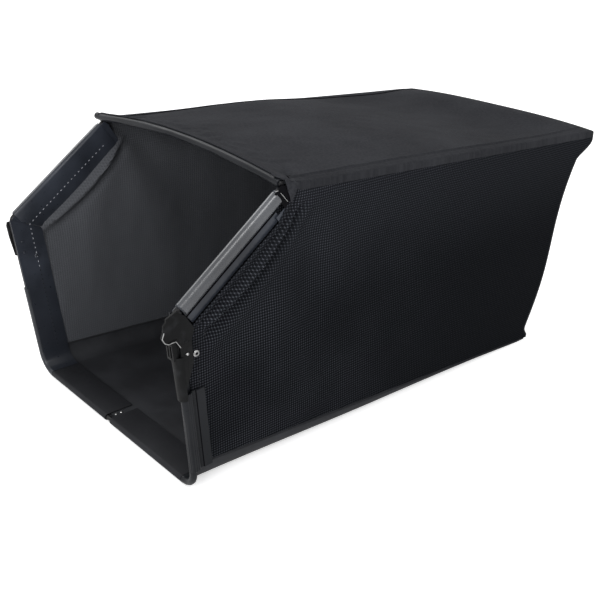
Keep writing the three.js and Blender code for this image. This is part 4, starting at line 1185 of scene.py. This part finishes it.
def flange_line(setback):
    """A line beside the mouth's rod, with a sharp corner where the rod is bent."""
    rod = bent_path([(0, leg_y(38), 38), (0, *HOOK_BEND, HOOK_BEND_RADIUS),
                     (0, TOP_BEND[0] - 10, TOP_BEND[1] - 7.5)])
    line = set_back(rod, setback)
    return [line[0], crossing(line[:2], line[-2:]), line[-1]]


def spaced(line, pitch):
    total = sum((b - a).length for a, b in zip(line, line[1:]))
    return [along_chain(line, k * pitch / total) for k in range(int(total / pitch))]


line = spaced(flange_line(STITCH_SETBACK), STITCH_PITCH)
rows = {"leg": (TAPE, [p for p in line if p.y <= PALE_FROM]),
        "slant": (THREAD, [p for p in line if p.y > PALE_FROM])}
for side, hand in SIDES:
    inner_face, outer_face = ROD_X - CLIP_OUTSIDE - OFF_FACE, CLOTH_X + OFF_FACE
    for part, (finish, spots) in rows.items():
        stitch_run(f"flange_stitches_{part}_{hand}", [place(side * inner_face, *p) for p in spots],
                   Vector((-side, 0, 0)), finish)
    stitch_run(f"flange_stitches_outside_{hand}", [place(side * outer_face, *p) for p in line],
               Vector((side, 0, 0)), TAPE)
print("stitches in a flange", len(line))

# %% Rolled hems
HEM_STEPS = 60

for side, hand in SIDES:
    surface = right_surface if side > 0 else left_surface
    shares = [k / HEM_STEPS for k in range(1, HEM_STEPS)]
    hem = [Vector(surface(s, 0.0)) for s in shares]
    hem = [Vector((p.x - side * 0.4, p.y, max(HEM_ROLL + 0.05, p.z - 0.7))) for p in hem]
    corner = [Vector(surface(1.0, t)) + Vector((side * -0.6, 0.3, 0)) for t in shares]
    bend_rod(f"hem_roll_{hand}", hem, HEM_ROLL, TAPE, "tape")
    bend_rod(f"corner_roll_{hand}", corner, HEM_ROLL, TAPE, "tape")
print("hem runs from", round(hem[0].z, 1), "down to", round(hem[-1].z, 1), "mm")

# %% [markdown]
# ## The cloth panels
#
# Each panel is one sheet of cloth. The size it was cut to, and what holds it, are part
# of the object's facts; here the panels' names are printed.

# %% Sheets
print("sheets", right_side.name, left_side.name, top.name, rear.name, floor_cloth.name)

# %% [markdown]
# ## Floor, backdrop and light
#
# The bag stands on a pale studio floor that runs into a white surround. One large soft
# box hangs at the upper left, as the bright top and the line along the front bar show,
# a smaller one stands at the right, which draws the bright band on the slanted strip, and
# a third shines into the mouth from the front. The camera and reflections see the
# surround pure white, while its light on the bag is a little weaker.

# %% Floor and surround
FLOOR_GLOW = 0.5
SURROUND_LIGHT = 0.78


def studio_floor():
    deselect()
    bpy.ops.mesh.primitive_plane_add(size=14)
    floor = bpy.context.object
    floor.name = "studio_floor"
    finish = Finish("studio_floor")
    seen = finish.add("ShaderNodeLightPath").outputs["Is Camera Ray"]
    finish.surface(base_color=(0.93, 0.93, 0.935, 1), roughness=0.32)
    finish.feed(finish.shader.inputs["Emission Color"], (1, 1, 1, 1))
    finish.feed(finish.shader.inputs["Emission Strength"], Wave(finish, seen) * FLOOR_GLOW)
    floor.data.materials.append(finish.material)


def surround():
    world = bpy.data.worlds.new("surround")
    bpy.context.scene.world = world
    world.use_nodes = True
    nodes, links = world.node_tree.nodes, world.node_tree.links
    path = nodes.new("ShaderNodeLightPath").outputs
    shown = path["Is Camera Ray"]
    for ray in ("Is Glossy Ray", "Is Transmission Ray"):
        either = nodes.new("ShaderNodeMath")
        either.operation = "MAXIMUM"
        links.new(shown, either.inputs[0])
        links.new(path[ray], either.inputs[1])
        shown = either.outputs[0]
    strength = nodes.new("ShaderNodeMapRange")
    strength.inputs["To Min"].default_value = SURROUND_LIGHT
    strength.inputs["To Max"].default_value = 1.0
    links.new(shown, strength.inputs["Value"])
    links.new(strength.outputs[0], nodes["Background"].inputs["Strength"])
    nodes["Background"].inputs["Color"].default_value = (1, 1, 1, 1)


studio_floor()
surround()
print("surround lights the bag at", SURROUND_LIGHT)


# %% Lamps
def soft_box(name, spot, target, size, power):
    bpy.ops.object.light_add(type="AREA", location=spot)
    lamp = bpy.context.object
    lamp.name = name
    lamp.data.shape, lamp.data.size, lamp.data.energy = "DISK", size, power
    lamp.rotation_euler = (Vector(target) - Vector(spot)).to_track_quat("-Z", "Y").to_euler()


soft_box("upper_left_box", (-1.5, -0.5, 2.0), (0, -0.1, 0.2), 1.6, 20)
soft_box("right_box", (1.7, -0.45, 1.5), (0.19, -0.3, 0.25), 0.7, 8)
soft_box("mouth_box", (1.0, -2.0, 0.9), (0, -0.1, 0.15), 0.9, 18)
bpy.context.scene.view_settings.view_transform = "Standard"
